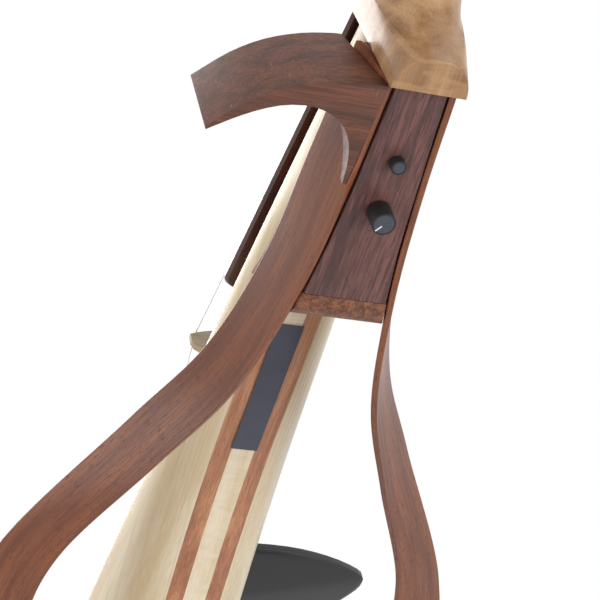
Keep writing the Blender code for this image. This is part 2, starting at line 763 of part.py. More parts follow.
def build_head():
    """Neck with heel, pegbox and stepped scroll, joined into one piece of maple."""
    place = pegbox_matrix()
    neck = make("neck_and_scroll", skin(neck_rings()), MAPLE)
    rings = []
    for k in range(7):
        s = mix(0, PEGBOX_LENGTH + 6 * MM, k / 6)
        half, deep = pegbox_half(s), pegbox_depth(s)
        edge = 3 * MM
        ring = [(half, s, 0), (half, s, -deep + edge), (half - edge, s, -deep),
                (-half + edge, s, -deep), (-half, s, -deep + edge), (-half, s, 0)]
        rings.append([place @ Vector(p) for p in ring])
    boolean(neck, make("pegbox_body", skin(rings), MAPLE), "UNION")
    throat = SCROLL_RADIUS * 0.78
    centre_s, centre_h = PEGBOX_LENGTH + throat, -SCROLL_RADIUS * 0.42
    for n in range(SCROLL_STEPS):
        t = n / (SCROLL_STEPS - 1)
        half = mix(SCROLL_THROAT_HALF, SCROLL_EYE_HALF, t ** 0.8)
        start = radians(200) - 2 * pi * t * 1.25
        outer = mix(SCROLL_RADIUS, SCROLL_RADIUS * 0.36, t)
        inner = outer * 0.80
        outline = []
        count = 20
        for k in range(count):
            angle = start - 2 * pi * k / count
            radius = mix(outer, inner, k / (count - 1)) if n < SCROLL_STEPS - 1 else outer
            outline.append((centre_s + radius * cos(angle), centre_h + radius * sin(angle)))
        bm = prism(outline, -half, half, "X")
        bmesh.ops.transform(bm, matrix=place, verts=bm.verts)
        boolean(neck, make(f"scroll_turn_{n}", bm, MAPLE), "UNION")
    rings = []
    for s in (NUT_LENGTH, PEGBOX_LENGTH - 6 * MM):
        half = pegbox_half(s) - PEGBOX_WALL
        deep = pegbox_depth(s) - PEGBOX_FLOOR
        ring = [(half, s, 5 * MM), (half, s, -deep), (-half, s, -deep), (-half, s, 5 * MM)]
        rings.append([place @ Vector(p) for p in ring])
    boolean(neck, make("pegbox_trough", skin(rings), MAPLE))
    for word, along, side in PEGS:
        s = along * MM
        centre = peg_centre(s)
        reach = pegbox_half(s) + 6 * MM
        profile = [(-reach, peg_radius(-reach, s) + RUN_GAP), (reach, peg_radius(reach, s) + RUN_GAP)]
        bm = turned(profile, 20, "X")
        bmesh.ops.transform(bm, matrix=peg_matrix(s, side), verts=bm.verts)
        boolean(neck, make(f"peg_hole_{word}", bm, MAPLE))


def peg_centre(s):
    return -pegbox_depth(s) * PEG_LEVEL


def peg_radius(x, s):
    """Shank radius at a place across the pegbox, thick on the head's side."""
    half = pegbox_half(s)
    return PEG_RADIUS - PEG_TAPER * (0.5 - 0.5 * x / half)


def peg_matrix(s, side):
    spin = Matrix.Rotation(0 if side > 0 else pi, 4, "Z")
    return pegbox_matrix() @ Matrix.Translation((0, s, peg_centre(s))) @ spin


def build_pegs():
    """Turned pegs with flat thumb pieces; each has its origin on its own axis."""
    for word, along, side in PEGS:
        s = along * MM
        half = pegbox_half(s)
        out = half + PEG_SHANK_OUT
        collar = PEG_COLLAR_RADIUS
        profile = [(-half, peg_radius(-half, s)), (half, peg_radius(half, s)),
                   (out - 2.5 * MM, peg_radius(half, s)), (out - 1.5 * MM, collar), (out, collar),
                   (out + 1 * MM, collar * 0.7)]
        peg = make(f"peg_{word}", turned(profile, 20, "X"), EBONY)
        thumb = build_thumb(out - 0.5 * MM)
        grip = make(f"peg_thumb_{word}", thumb, EBONY)
        grip.parent = peg
        boolean(peg, grip, "UNION")
        peg.matrix_local = peg_matrix(s, side)


def build_thumb(start):
    """The flattened grip at a peg's end."""
    rings = []
    steps, count = 8, 16
    for k in range(steps + 1):
        u = k / steps
        x = start + PEG_THUMB_LENGTH * u
        wide = PEG_THUMB_HALF * max(0.12, sin(pi * min(0.97, 0.22 + 0.76 * u)) ** 0.7)
        thick = mix(3.4 * MM, 2.2 * MM, u) if u < 1 else 1.2 * MM
        rings.append([(x, wide * cos(2 * pi * n / count), thick * sin(2 * pi * n / count)) for n in range(count)])
    return skin(rings)


def bridge_top(x):
    """Height of the bridge's top over the belly at a place across it."""
    return BRIDGE_HEIGHT - (BOARD_RADIUS - sqrt(BOARD_RADIUS ** 2 - x ** 2))


def arc(cx, cz, radius, start, end, steps):
    return [(cx + radius * cos(radians(mix(start, end, k / steps))),
             cz + radius * sin(radians(mix(start, end, k / steps)))) for k in range(steps + 1)]


def build_bridge():
    foot, ankle = BRIDGE_FOOT_HALF, 4 * MM
    half = STRING_PITCH_AT_BRIDGE * 1.5 + 3 * MM
    right = [(foot - 11 * MM, 0), (foot, 0), (foot, 1.6 * MM), (foot - 3.5 * MM, ankle)]
    right += [(foot - 5 * MM, 9 * MM)]
    right += arc(foot - 4 * MM, 14.5 * MM, 3.6 * MM, 250, 110, 5)
    right += [(half - 1 * MM, 20.5 * MM), (half, 23 * MM), (half, bridge_top(half))]
    top = [(mix(half, -half, k / 12), bridge_top(mix(half, -half, k / 12))) for k in range(1, 12)]
    left = [(-x, z) for x, z in reversed(right)]
    arch = arc(0, 0, foot - 11 * MM, 180, 0, 10)[1:-1]
    outline = right + top + left + arch
    lift = PICKUP_THICKNESS + 2 * GAP
    near, far = [], []
    for x, z in outline:
        thick = mix(BRIDGE_BASE, BRIDGE_TOP, z / BRIDGE_HEIGHT)
        near.append((x, 0, z + lift))
        far.append((x, thick, z + lift))
    bridge = make("bridge", skin([near, far]), BRIDGE_WOOD, BELLY, smooth=0)
    bridge.location = (0, -bridge_station(), 0)
    heart = turned(((-5 * MM, 2.7 * MM), (10 * MM, 2.7 * MM)), 16, "Y", (0, 0, 18.5 * MM + lift))
    cutter = make("bridge_heart", heart, BRIDGE_WOOD, BELLY)
    cutter.location = bridge.location
    boolean(bridge, cutter)
    pads = [(-foot, 0), (foot, 0), (foot, BRIDGE_BASE), (-foot, BRIDGE_BASE)]
    strip = make("bridge_pickup", prism(pads, GAP, GAP + PICKUP_THICKNESS), BLACK, BELLY, smooth=0)
    strip.location = bridge.location


def bridge_station():
    return BRIDGE_AT / cos(BELLY_TILT)


def tail_station():
    return bridge_station() + AFTERLENGTH


def string_points(place, thick):
    """Peg, nut, bridge and tailpiece ends of one string in the body frame."""
    x_nut, x_bridge = STRING_PITCH_AT_NUT * place, STRING_PITCH_AT_BRIDGE * place
    radius = thick / 2
    nut_top = BOARD_EDGE + nut_arc(x_nut) + NUT_RISE + GAP + radius
    nut_m = Matrix.Translation((0, NUT_Y, board_z(NUT_Y))) @ Matrix.Rotation(NECK_TILT, 4, "X")
    nut_back = nut_m @ Vector((x_nut, NUT_LENGTH, nut_top - 0.4 * MM))
    nut_front = nut_m @ Vector((x_nut, 0.5 * MM, nut_top))
    lift = PICKUP_THICKNESS + 2 * GAP
    z = bridge_top(x_bridge) + lift + GAP + radius
    bridge_front = BELLY_M @ Vector((x_bridge, -bridge_station() + BRIDGE_TOP + 0.3 * MM, z))
    bridge_back = BELLY_M @ Vector((x_bridge, -bridge_station() - 0.3 * MM, z))
    end = BELLY_M @ Vector((TUNER_PITCH * place, -tail_station() + 1.2 * MM + GAP, lever_top() - 1.4 * MM))
    return nut_back, nut_front, bridge_front, bridge_back, end


def nut_arc(x):
    return sqrt(BOARD_RADIUS ** 2 - x ** 2) - sqrt(BOARD_RADIUS ** 2 - NECK_HALF_AT_NUT ** 2)


def lever_top():
    return TAILPIECE_HEAD_RISE + TAILPIECE_EDGE + TAILPIECE_ARCH + 1.5 * MM


def build_strings():
    pegs = {word: (along * MM, side) for word, along, side in PEGS}
    least = 1.0
    for word, size, place in STRINGS:
        thick = size * MM
        nut_back, nut_front, bridge_front, bridge_back, end = string_points(place, thick)
        s, side = pegs[word]
        matrix = peg_matrix(s, side)
        coil = coil_points(s, thick, side)
        for a in range(len(coil)):
            for b in range(a + 18, len(coil)):
                least = min(least, (Vector(coil[a]) - Vector(coil[b])).length - thick)
        winding = tube(f"winding_{word}", coil, thick / 2, STEEL)
        winding.matrix_local = matrix
        start = matrix @ Vector(coil[-1])
        before = matrix @ Vector(coil[-2])
        lead = (start - before).normalized()
        radius = coil_radius(s, thick)
        clear = sqrt((radius + thick / 2 + GAP) ** 2 - (radius - thick / 2) ** 2)
        free = start + lead * clear
        tube(f"string_{word}", [end, bridge_back, bridge_front, nut_front, nut_back, free], thick / 2, STEEL)
    print("least gap between the turns of a winding:", round(least / MM, 3), "mm")


def coil_radius(s, thick):
    """From the peg's axis to the middle of the string wound on it."""
    return peg_radius(0, s) + RUN_GAP + thick / 2


def coil_points(s, thick, side):
    """The turns of a string on its peg, ending on top where it leaves for the nut."""
    count = 24
    radius = coil_radius(s, thick)
    pitch = thick + WIND_SPACE
    total = int(WIND_TURNS * count)
    points = []
    for k in range(total + 1):
        angle = pi / 2 - side * 2 * pi * (total - k) / count
        x = pitch * (k - total) / count + WIND_TURNS * pitch / 2
        points.append((x, radius * cos(angle), radius * sin(angle)))
    return points


def build_board():
    stations = [NUT_Y - GAP, 0] + [mix(0, -BOARD_OVERHANG + 5 * MM, k / 3) for k in range(1, 4)]
    stations += [-BOARD_OVERHANG + 5 * MM * (1 - sin(pi / 2 * k / 4)) for k in range(1, 5)]
    rings = []
    for y in stations:
        t = (NUT_Y - y) / (NUT_Y + BOARD_OVERHANG)
        half = mix(NECK_HALF_AT_NUT, BOARD_END_HALF, t)
        past = y + BOARD_OVERHANG
        if past < 5 * MM:
            half -= 5 * MM - sqrt(max(0, (5 * MM) ** 2 - (5 * MM - past) ** 2))
        bottom = board_z(y) + GAP
        edge = 1.2 * MM
        drop = sqrt(BOARD_RADIUS ** 2 - half ** 2)
        ring = [(-half + edge, y, bottom), (half - edge, y, bottom), (half, y, bottom + edge),
                (half, y, bottom + BOARD_EDGE - edge)]
        for k in range(9):
            x = mix(half - edge * 0.6, -half + edge * 0.6, k / 8)
            ring.append((x, y, bottom + BOARD_EDGE + sqrt(BOARD_RADIUS ** 2 - x ** 2) - drop))
        ring += [(-half, y, bottom + BOARD_EDGE - edge), (-half, y, bottom + edge)]
        rings.append(ring)
    make("fingerboard", skin(rings), ROSEWOOD)
    place = Matrix.Translation((0, NUT_Y, board_z(NUT_Y))) @ Matrix.Rotation(NECK_TILT, 4, "X")
    half = NECK_HALF_AT_NUT
    outline = [(-half, GAP), (half, GAP)]
    for k in range(9):
        x = mix(half, -half, k / 8)
        outline.append((x, BOARD_EDGE + nut_arc(x) + NUT_RISE))
    bm = prism(outline, 0, NUT_LENGTH - GAP, "Y")
    bmesh.ops.transform(bm, matrix=place, verts=bm.verts)
    make("nut", bm, EBONY)


def tailpiece_rise(t):
    return mix(TAILPIECE_HEAD_RISE, TAILPIECE_TAIL_RISE, t)


def build_tail():
    start = tail_station() + LEVER_THICKNESS + 2 * GAP
    rings = []
    for k in range(9):
        t = k / 8
        y = -start - TAILPIECE_LENGTH * t
        half = mix(TAILPIECE_HEAD_HALF, TAILPIECE_END_HALF, sin(pi / 2 * t) ** 0.8)
        rise, arch = tailpiece_rise(t), TAILPIECE_ARCH * (1 - 0.5 * t)
        ring = [(-half, y, rise), (half, y, rise), (half, y, rise + TAILPIECE_EDGE)]
        for n in range(1, 8):
            x = mix(half, -half, n / 8)
            ring.append((x, y, rise + TAILPIECE_EDGE + arch * (1 - (x / half) ** 2)))
        ring.append((-half, y, rise + TAILPIECE_EDGE))
        rings.append(ring)
    piece = make("tailpiece", skin(rings), BLACK, BELLY)
    for word, size, place in STRINGS:
        x, y = TUNER_PITCH * place, -start - TUNER_BACK
        low = TAILPIECE_HEAD_RISE - 6 * MM
        high = TAILPIECE_HEAD_RISE + TAILPIECE_EDGE + TAILPIECE_ARCH + 2.2 * MM
        hole = make(f"tuner_hole_{word}", turned(((low, TUNER_SCREW_RADIUS + RUN_GAP),
                    (high + 5 * MM, TUNER_SCREW_RADIUS + RUN_GAP)), 16), BLACK, BELLY)
        hole.location = (x, y, 0)
        boolean(piece, hole)
        profile = [(low, TUNER_SCREW_RADIUS), (high, TUNER_SCREW_RADIUS), (high, TUNER_HEAD_RADIUS),
                   (high + TUNER_HEAD_HEIGHT - 0.5 * MM, TUNER_HEAD_RADIUS),
                   (high + TUNER_HEAD_HEIGHT, TUNER_HEAD_RADIUS - 0.5 * MM)]
        screw = make(f"tuner_screw_{word}", turned(profile, 16), STEEL, BELLY)
        screw.location = (x, y, 0)
        low_arm = low - GAP
        reach = -y - tail_station() + 3 * MM
        side = [(0, lever_top()), (LEVER_THICKNESS, lever_top()), (LEVER_THICKNESS, low_arm),
                (reach, low_arm), (reach, low_arm - LEVER_THICKNESS), (0, low_arm - LEVER_THICKNESS)]
        bm = skin([[(-LEVER_WIDTH / 2, -a, b) for a, b in side], [(LEVER_WIDTH / 2, -a, b) for a, b in side]])
        lever = make(f"tuner_lever_{word}", bm, STEEL, BELLY, smooth=0)
        lever.location = (x, -tail_station(), 0)
    build_saddle_and_button(start + TAILPIECE_LENGTH)


def build_saddle_and_button(piece_end):
    half = SADDLE_HALF
    edge = BODY_LENGTH / cos(BELLY_TILT)
    outline = [(-half, GAP), (half, GAP)] + [(mix(half, -half, k / 6), SADDLE_HEIGHT * (1 - 0.2 * abs(k - 3) / 3))
                                             for k in range(7)]
    saddle = make("saddle", prism(outline, -edge + 0.5 * MM, -edge + 6 * MM, "Y"), EBONY, BELLY)
    y = -BODY_LENGTH
    z = belly_z(y) - BUTTON_DROP
    neck = BUTTON_STEM_RADIUS + 1.4 * MM
    profile = [(y + 18 * MM, BUTTON_STEM_RADIUS), (y - GAP, BUTTON_STEM_RADIUS), (y - GAP, neck),
               (y - 4 * MM, neck), (y - 5.5 * MM, BUTTON_RADIUS), (y - 9 * MM, BUTTON_RADIUS),
               (y - 10.5 * MM, BUTTON_RADIUS * 0.7)]
    make("end_button", turned(profile, 20, "Y", (0, 0, z)), EBONY)
    spread = neck + GUT_RADIUS + GAP
    over = SADDLE_HEIGHT + GAP + GUT_RADIUS
    right = [BELLY_M @ Vector((spread, -piece_end - GAP, TAILPIECE_TAIL_RISE + TAILPIECE_EDGE / 2)),
             BELLY_M @ Vector((spread, -edge + 6 * MM, over)),
             BELLY_M @ Vector((spread, -edge - GUT_RADIUS - 1 * MM, over))]
    out = y - 2.2 * MM
    right += [Vector((spread, out, z + 8 * MM))]
    loop = [Vector((spread * cos(a), out, z - spread * sin(a))) for a in [pi * k / 8 for k in range(9)]]
    left = [Vector((-p.x, p.y, p.z)) for p in reversed(right)]
    tube("tailgut", right + loop + left, GUT_RADIUS, BLACK, resolution=2)


def cup_outline():
    """Plan of the chin rest, bass side, in belly coordinates."""
    head, tail = -CUP_HEAD, -CUP_TAIL
    far, near = -CUP_OUTER, CUP_INNER
    points = [Vector((near, head - 10 * MM)), Vector((near - 14 * MM, head - 1 * MM)),
              Vector((-34 * MM, head)), Vector((-62 * MM, head - 1 * MM)),
              Vector((-84 * MM, head - 6 * MM)), Vector((far + 4 * MM, head - 14 * MM)),
              Vector((far, head - 20 * MM)), Vector((far + 4 * MM, head - 30 * MM)),
              Vector((-84 * MM, tail + 12 * MM)), Vector((-56 * MM, tail)), Vector((-22 * MM, tail + 4 * MM)),
              Vector((near - 8 * MM, tail + 12 * MM)), Vector((near, head - 22 * MM))]
    return spline(points, 3)


def build_chin_rest():
    outline = cup_outline()
    centre = Vector((-50 * MM, -(CUP_HEAD + CUP_TAIL) / 2))
    rings = []
    levels = ((0.0, 0.94), (0.25, 1.0), (1.0, 1.0), (1.15, 0.95), (0.75, 0.7), (0.5, 0.35))
    for level, scale in levels:
        ring = []
        for p in outline:
            q = centre + (p - centre) * scale
            ring.append((q.x, q.y, CUP_RISE + CUP_THICKNESS * level + outer_rise(q.x)))
        rings.append(ring)
    make("chin_rest", skin(rings), BLACK, BELLY, smooth=50)
    build_clamp()


def outer_rise(x):
    """The cup lifts a little towards its outer end."""
    return 3 * MM * max(0.0, -x - 40 * MM) / (CUP_OUTER - 40 * MM)


def build_clamp():
    """A leg on the belly, and two threaded posts that pull a foot against the beam's back."""
    edge = BODY_LENGTH / cos(BELLY_TILT)
    near = -(TAILPIECE_END_HALF + 4 * MM)
    far = near - POST_SPACING
    leg = [(near, -edge + LEG_INSET), (near, -edge + LEG_INSET + LEG_LENGTH),
           (far, -edge + LEG_INSET + LEG_LENGTH), (far, -edge + LEG_INSET)]
    make("chin_rest_leg", prism(leg, GAP, CUP_RISE - GAP), BLACK, BELLY, smooth=0)
    foot_y = -BODY_LENGTH + FOOT_REACH
    inner = BEAM_TAIL_HALF * 0.5
    deep = (belly_z(foot_y) - beam_surface(inner, foot_y)) / cos(BELLY_TILT)
    for n in range(2):
        x = near - POST_RADIUS - (POST_SPACING - 2 * POST_RADIUS) * n
        profile = [(-deep - FOOT_LIP - GAP, POST_RADIUS), (CUP_RISE - GAP + outer_rise(x), POST_RADIUS)]
        post = make(f"clamp_post_{n + 1}", turned(profile, 16), STEEL, BELLY)
        post.location = (x, -edge - POST_BEHIND, 0)
    low = -deep - FOOT_LIP - 2 * GAP
    outline = [(-edge - POST_BEHIND - POST_RADIUS - 1 * MM, low - FOOT_THICKNESS),
               (-edge + FOOT_REACH, low - FOOT_THICKNESS), (-edge + FOOT_REACH, -deep),
               (-edge + FOOT_REACH - 3 * MM, -deep), (-edge + FOOT_REACH - 5 * MM, low),
               (-edge - POST_BEHIND - POST_RADIUS - 1 * MM, low)]
    foot = make("clamp_foot", prism(outline, far, near, "X"), BLACK, BELLY, smooth=0)
    boolean(foot, bpy.data.objects["beam_envelope"])


def seat_on_origin():
    """Move the root so that the origin is the bottom centre of the whole model's box."""
    bpy.context.view_layer.update()
    graph = bpy.context.evaluated_depsgraph_get()
    low, high = Vector((1e9,) * 3), Vector((-1e9,) * 3)
    for obj in bpy.context.scene.objects:
        if obj.type not in {"MESH", "CURVE"} or obj.hide_render:
            continue
        evaluated = obj.evaluated_get(graph)
        mesh = evaluated.to_mesh()
        for vertex in mesh.vertices:
            point = obj.matrix_world @ vertex.co
            for axis in range(3):
                low[axis] = min(low[axis], point[axis])
                high[axis] = max(high[axis], point[axis])
        evaluated.to_mesh_clear()
    ROOT.location = (-(low.x + high.x) / 2, -(low.y + high.y) / 2, -low.z)
    bpy.context.view_layer.update()
    print("box in mm:", [round(v / MM, 2) for v in high - low])
    print("root moved by:", [round(v, 6) for v in ROOT.location])


build_beam()
build_bands()
build_block()
build_plate()
build_control("volume", VOLUME_AT, VOLUME_RADIUS, VOLUME_HEIGHT, SHAFT_RADIUS, "volume_pot",
              POT_RADIUS, POT_HEIGHT)
build_control("selector", SELECTOR_AT, SELECTOR_RADIUS, SELECTOR_HEIGHT, SELECTOR_SHAFT_RADIUS,
              "selector_switch", SWITCH_RADIUS, SWITCH_HEIGHT)
build_jack()
build_horn()
build_label()
build_head()
build_board()
build_pegs()
build_strings()
build_bridge()
build_tail()
build_chin_rest()
seat_on_origin()
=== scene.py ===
# %% [markdown]
# # An electric violin, dressed for its picture
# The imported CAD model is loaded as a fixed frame. Each step below dresses one part of the instrument: its
# wooden boards, the two twisted bands, the horn, the controls and the fittings. Everything stays where the
# frame says, so the moving parts still turn on their own axes.

# %% Load the frame
import json
from math import atan, cos, pi, radians, sin, sqrt

import bmesh
import bpy
from mathutils import Matrix, Vector


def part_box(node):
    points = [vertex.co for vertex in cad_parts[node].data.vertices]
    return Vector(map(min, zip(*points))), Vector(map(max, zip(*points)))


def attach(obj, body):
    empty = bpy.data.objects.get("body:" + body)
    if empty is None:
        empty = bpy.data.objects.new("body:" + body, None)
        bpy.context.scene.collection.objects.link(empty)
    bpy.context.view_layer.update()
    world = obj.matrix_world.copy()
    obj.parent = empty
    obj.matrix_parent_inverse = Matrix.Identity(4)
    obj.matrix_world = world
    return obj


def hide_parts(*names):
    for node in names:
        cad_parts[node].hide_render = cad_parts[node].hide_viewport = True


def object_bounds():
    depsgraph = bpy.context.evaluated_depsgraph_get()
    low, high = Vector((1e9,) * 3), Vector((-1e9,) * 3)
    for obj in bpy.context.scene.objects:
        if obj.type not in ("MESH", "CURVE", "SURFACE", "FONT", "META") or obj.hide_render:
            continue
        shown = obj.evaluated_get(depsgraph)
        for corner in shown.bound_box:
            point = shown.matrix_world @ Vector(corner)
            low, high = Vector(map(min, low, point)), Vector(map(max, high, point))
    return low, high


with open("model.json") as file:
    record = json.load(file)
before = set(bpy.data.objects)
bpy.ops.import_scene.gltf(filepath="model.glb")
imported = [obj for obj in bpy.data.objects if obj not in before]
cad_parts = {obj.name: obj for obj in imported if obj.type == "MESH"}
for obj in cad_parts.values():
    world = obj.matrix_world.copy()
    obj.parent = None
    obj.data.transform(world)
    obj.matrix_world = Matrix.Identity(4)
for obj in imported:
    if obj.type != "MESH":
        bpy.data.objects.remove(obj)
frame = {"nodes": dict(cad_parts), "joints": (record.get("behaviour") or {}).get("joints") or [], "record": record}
CAD_LOW, CAD_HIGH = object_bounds()
RECORD = frame["record"]
JOINTS = {joint["name"]: joint for joint in frame["joints"]}
print("nodes:", len(frame["nodes"]), "box:", [round(v, 4) for v in CAD_HIGH - CAD_LOW])

# %% [markdown]
# ## The heel frame
# A violin maker measures from the heel, where the neck meets the body. The record states where the heel cap
# lies, 5 mm from its flat edge, so that point gives the origin of the heel frame: X to the treble side, Y to
# the head and Z to the strings. The planes below are the belly, the fingerboard's underside and the cover
# plate, each a height at the heel and a slope.

# %% Sizes shared by the pieces
MM = 0.001
CAP_MARK = 5 * MM
MARK = Vector(next(m for m in RECORD["mounts"] if m["name"] == "heel_cap")["pos_m"])
HEEL = MARK - Vector((0, CAP_MARK, 0))
BODY_LENGTH = 353 * MM
BELLY_HEIGHT, BELLY_SLOPE = 48 * MM, 0.076
NECK_HEIGHT, NECK_SLOPE = 51 * MM, 0.147
PLATE_HEIGHT, PLATE_RISE = 5.6 * MM, 0.0415
NECK_TILT = -atan(NECK_SLOPE)
PEGBOX_TILT = NECK_TILT - radians(9)
NUT_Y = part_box("nut")[0].y - HEEL.y


def mix(a, b, t):
    return a + (b - a) * t


def ease(t):
    t = min(1.0, max(0.0, t))
    return t * t * (3 - 2 * t)


def belly_z(y):
    return BELLY_HEIGHT - BELLY_SLOPE * y


def board_z(y):
    return NECK_HEIGHT - NECK_SLOPE * y


def plate_z(y):
    return PLATE_HEIGHT + PLATE_RISE * y


print("heel at", [round(v, 4) for v in HEEL], "nut at", round(NUT_Y / MM, 1), "mm")

# %% [markdown]
# ## Shader maths as plain expressions
# Patterns in wood are sums and products of noise. Writing them as nodes by hand is long, so a small class
# wraps a socket and turns Python's operators into Math nodes. Every other node comes from one method that
# takes its type, its settings and what feeds its sockets. The same class builds the Geometry Nodes trees.


# %% A socket that can be calculated with
class Value:
    def __init__(self, recipe, socket):
        self.recipe = recipe
        self.socket = socket

    def maths(self, operation, first, second):
        return self.recipe.node("ShaderNodeMath", {"operation": operation}, {0: first, 1: second})

    def __add__(self, other):
        return self.maths("ADD", self, other)

    def __radd__(self, other):
        return self.maths("ADD", other, self)

    def __sub__(self, other):
        return self.maths("SUBTRACT", self, other)

    def __rsub__(self, other):
        return self.maths("SUBTRACT", other, self)

    def __mul__(self, other):
        return self.maths("MULTIPLY", self, other)

    def __rmul__(self, other):
        return self.maths("MULTIPLY", other, self)

    def __pow__(self, other):
        return self.maths("POWER", self, other)


# %% The tree that the sockets belong to
class Recipe:
    def __init__(self, tree):
        self.tree = tree

    def node(self, kind, settings=None, sockets=None, out=0):
        """Add a node, set it up, feed it and hand back one of its outputs."""
        made = self.tree.nodes.new(kind)
        for key, value in (settings or {}).items():
            if key == "stops":
                self.place_stops(made.color_ramp, value)
            else:
                setattr(made, key, value)
        for key, value in (sockets or {}).items():
            self.feed(made.inputs[key], value)
        return Value(self, made.outputs[out])

    def feed(self, socket, value):
        if isinstance(value, Value):
            self.tree.links.new(value.socket, socket)
        else:
            socket.default_value = value

    def place_stops(self, ramp, stops):
        while len(ramp.elements) < len(stops):
            ramp.elements.new(1.0)
        for element, (position, colour) in zip(ramp.elements, stops):
            element.position = position
            element.color = colour

    def stretch(self, vector, size):
        """Coordinates in which a pattern cell has this size in metres."""
        share = tuple(1 / s for s in size)
        return self.node("ShaderNodeVectorMath", {"operation": "MULTIPLY"}, {0: vector, 1: share})

    def noise(self, vector, size, detail=3.0, twist=0.0):
        sockets = {"Vector": self.stretch(vector, size), "Scale": 1.0, "Detail": detail, "Distortion": twist}
        return self.node("ShaderNodeTexNoise", {}, sockets)

    def between(self, value, low, high):
        """0 below low, 1 above high, smooth between them."""
        settings = {"interpolation_type": "SMOOTHSTEP"}
        return self.node("ShaderNodeMapRange", settings, {"Value": value, "From Min": low, "From Max": high})

    def blend(self, factor, first, second, kind="MIX"):
        """Mix two colours."""
        made = self.tree.nodes.new("ShaderNodeMix")
        made.data_type = "RGBA"
        made.blend_type = kind
        self.feed(made.inputs[0], factor)
        self.feed(made.inputs[6], first)
        self.feed(made.inputs[7], second)
        return Value(self, made.outputs[2])


# %% [markdown]
# ## A colour as it looks
# Colours are picked as a screen shows them, and Blender calculates with light. This helper turns the first
# into the second, so that a wood renders about as its name for the colour says.


# %% Colours and material shells
def paint(code, shade=1.0):
    """A screen colour such as 7f4a2e as linear light."""
    parts = [int(code[k:k + 2], 16) / 255 for k in (0, 2, 4)]
    linear = [c / 12.92 if c <= 0.04045 else ((c + 0.055) / 1.055) ** 2.4 for c in parts]
    return (*[c * shade for c in linear], 1.0)


def shell(name):
    """A new material, its recipe and its main shader."""
    material = bpy.data.materials.new(name)
    material.use_nodes = True
    return material, Recipe(material.node_tree), material.node_tree.nodes["Principled BSDF"]


# %% [markdown]
# ## Wood
# Sawn wood has three scales: broad bands where the years differ, fine fibres along the grain, and pores,
# which are short dark ticks. Walnut is full of pores, spruce has none and shows its year lines, and maple
# shows bright cross flames. One recipe makes them all from noise that is stretched along the grain. Most
# boards read Object coordinates with the grain along Y; a bent band carries its own grain coordinates.


# %% The wood recipe
def wood(name, dark, light, band=0.009, fibre=0.5, pores=0.5, pore_colour="2a140c", year=0.0,
         year_step=0.0016, flame=0.0, flecks=0.0, fleck_colour="b07a50", gloss=0.42, coat=0.12,
         relief=0.25, bent=False, turn=(0, 0, 0)):
    material, recipe, shader = shell(name)
    if bent:
        place = recipe.node("ShaderNodeAttribute", {"attribute_name": "grain"}, out="Vector")
    else:
        place = recipe.node("ShaderNodeTexCoord", out="Object")
    place = recipe.node("ShaderNodeMapping", {}, {"Vector": place, "Rotation": turn})
    broad = recipe.noise(place, (band, band * 14, band), 4.0, 0.6)
    colour = recipe.blend(recipe.between(broad, 0.34, 0.66), paint(dark), paint(light))
    fine = recipe.noise(place, (0.00055, 0.024, 0.00055), 3.0, 0.2)
    fine_mask = recipe.between(fine, 0.38, 0.66)
    colour = recipe.blend(fine_mask * fibre, colour, paint(dark, 0.72))
    pale = recipe.between(recipe.noise(place, (0.0008, 0.03, 0.0008), 2.0), 0.52, 0.72)
    colour = recipe.blend(pale * (fibre * 0.7), colour, paint(light, 1.22))
    height = 1 - fine_mask * 0.5
    if year:
        across = recipe.node("ShaderNodeSeparateXYZ", {}, {"Vector": place}, out=0)
        wander = recipe.noise(place, (0.02, 0.28, 0.02), 2.0) * 0.004
        phase = (across + wander) * (2 * pi / year_step)
        line = recipe.node("ShaderNodeMath", {"operation": "SINE"}, {0: phase}) * 0.5 + 0.5
        strength = recipe.between(recipe.noise(place, (0.005, 0.2, 0.005), 2.0), 0.3, 0.75)
        colour = recipe.blend(line ** 3 * strength * year, colour, paint(dark, 0.86))
    if flame:
        waves = recipe.between(recipe.noise(place, (0.02, 0.0042, 0.02), 2.0, 0.8), 0.42, 0.62)
        colour = recipe.blend(waves * flame, colour, paint(light, 1.12))
    if flecks:
        ticks = recipe.noise(place, (0.0045, 0.00042, 0.0045), 2.0, 0.1)
        patch = recipe.between(recipe.noise(place, (0.012, 0.02, 0.012), 2.0), 0.45, 0.6)
        colour = recipe.blend(recipe.between(ticks, 0.66, 0.74) * patch * flecks, colour, paint(fleck_colour))
    rough = gloss + fine_mask * 0.08
    if pores:
        tick = recipe.noise(place, (0.00032, 0.0042, 0.00032), 1.5)
        hole = recipe.between(tick, 0.60, 0.68)
        colour = recipe.blend(hole * pores, colour, paint(pore_colour))
        height = height - hole * 0.8
        rough = rough + hole * 0.2
    bump = recipe.node("ShaderNodeBump", {}, {"Strength": relief, "Distance": 0.00012, "Height": height})
    recipe.feed(shader.inputs["Base Color"], colour)
    recipe.feed(shader.inputs["Roughness"], rough)
    recipe.feed(shader.inputs["Normal"], bump)
    shader.inputs["Coat Weight"].default_value = coat
    shader.inputs["Coat Roughness"].default_value = 0.25
    return material


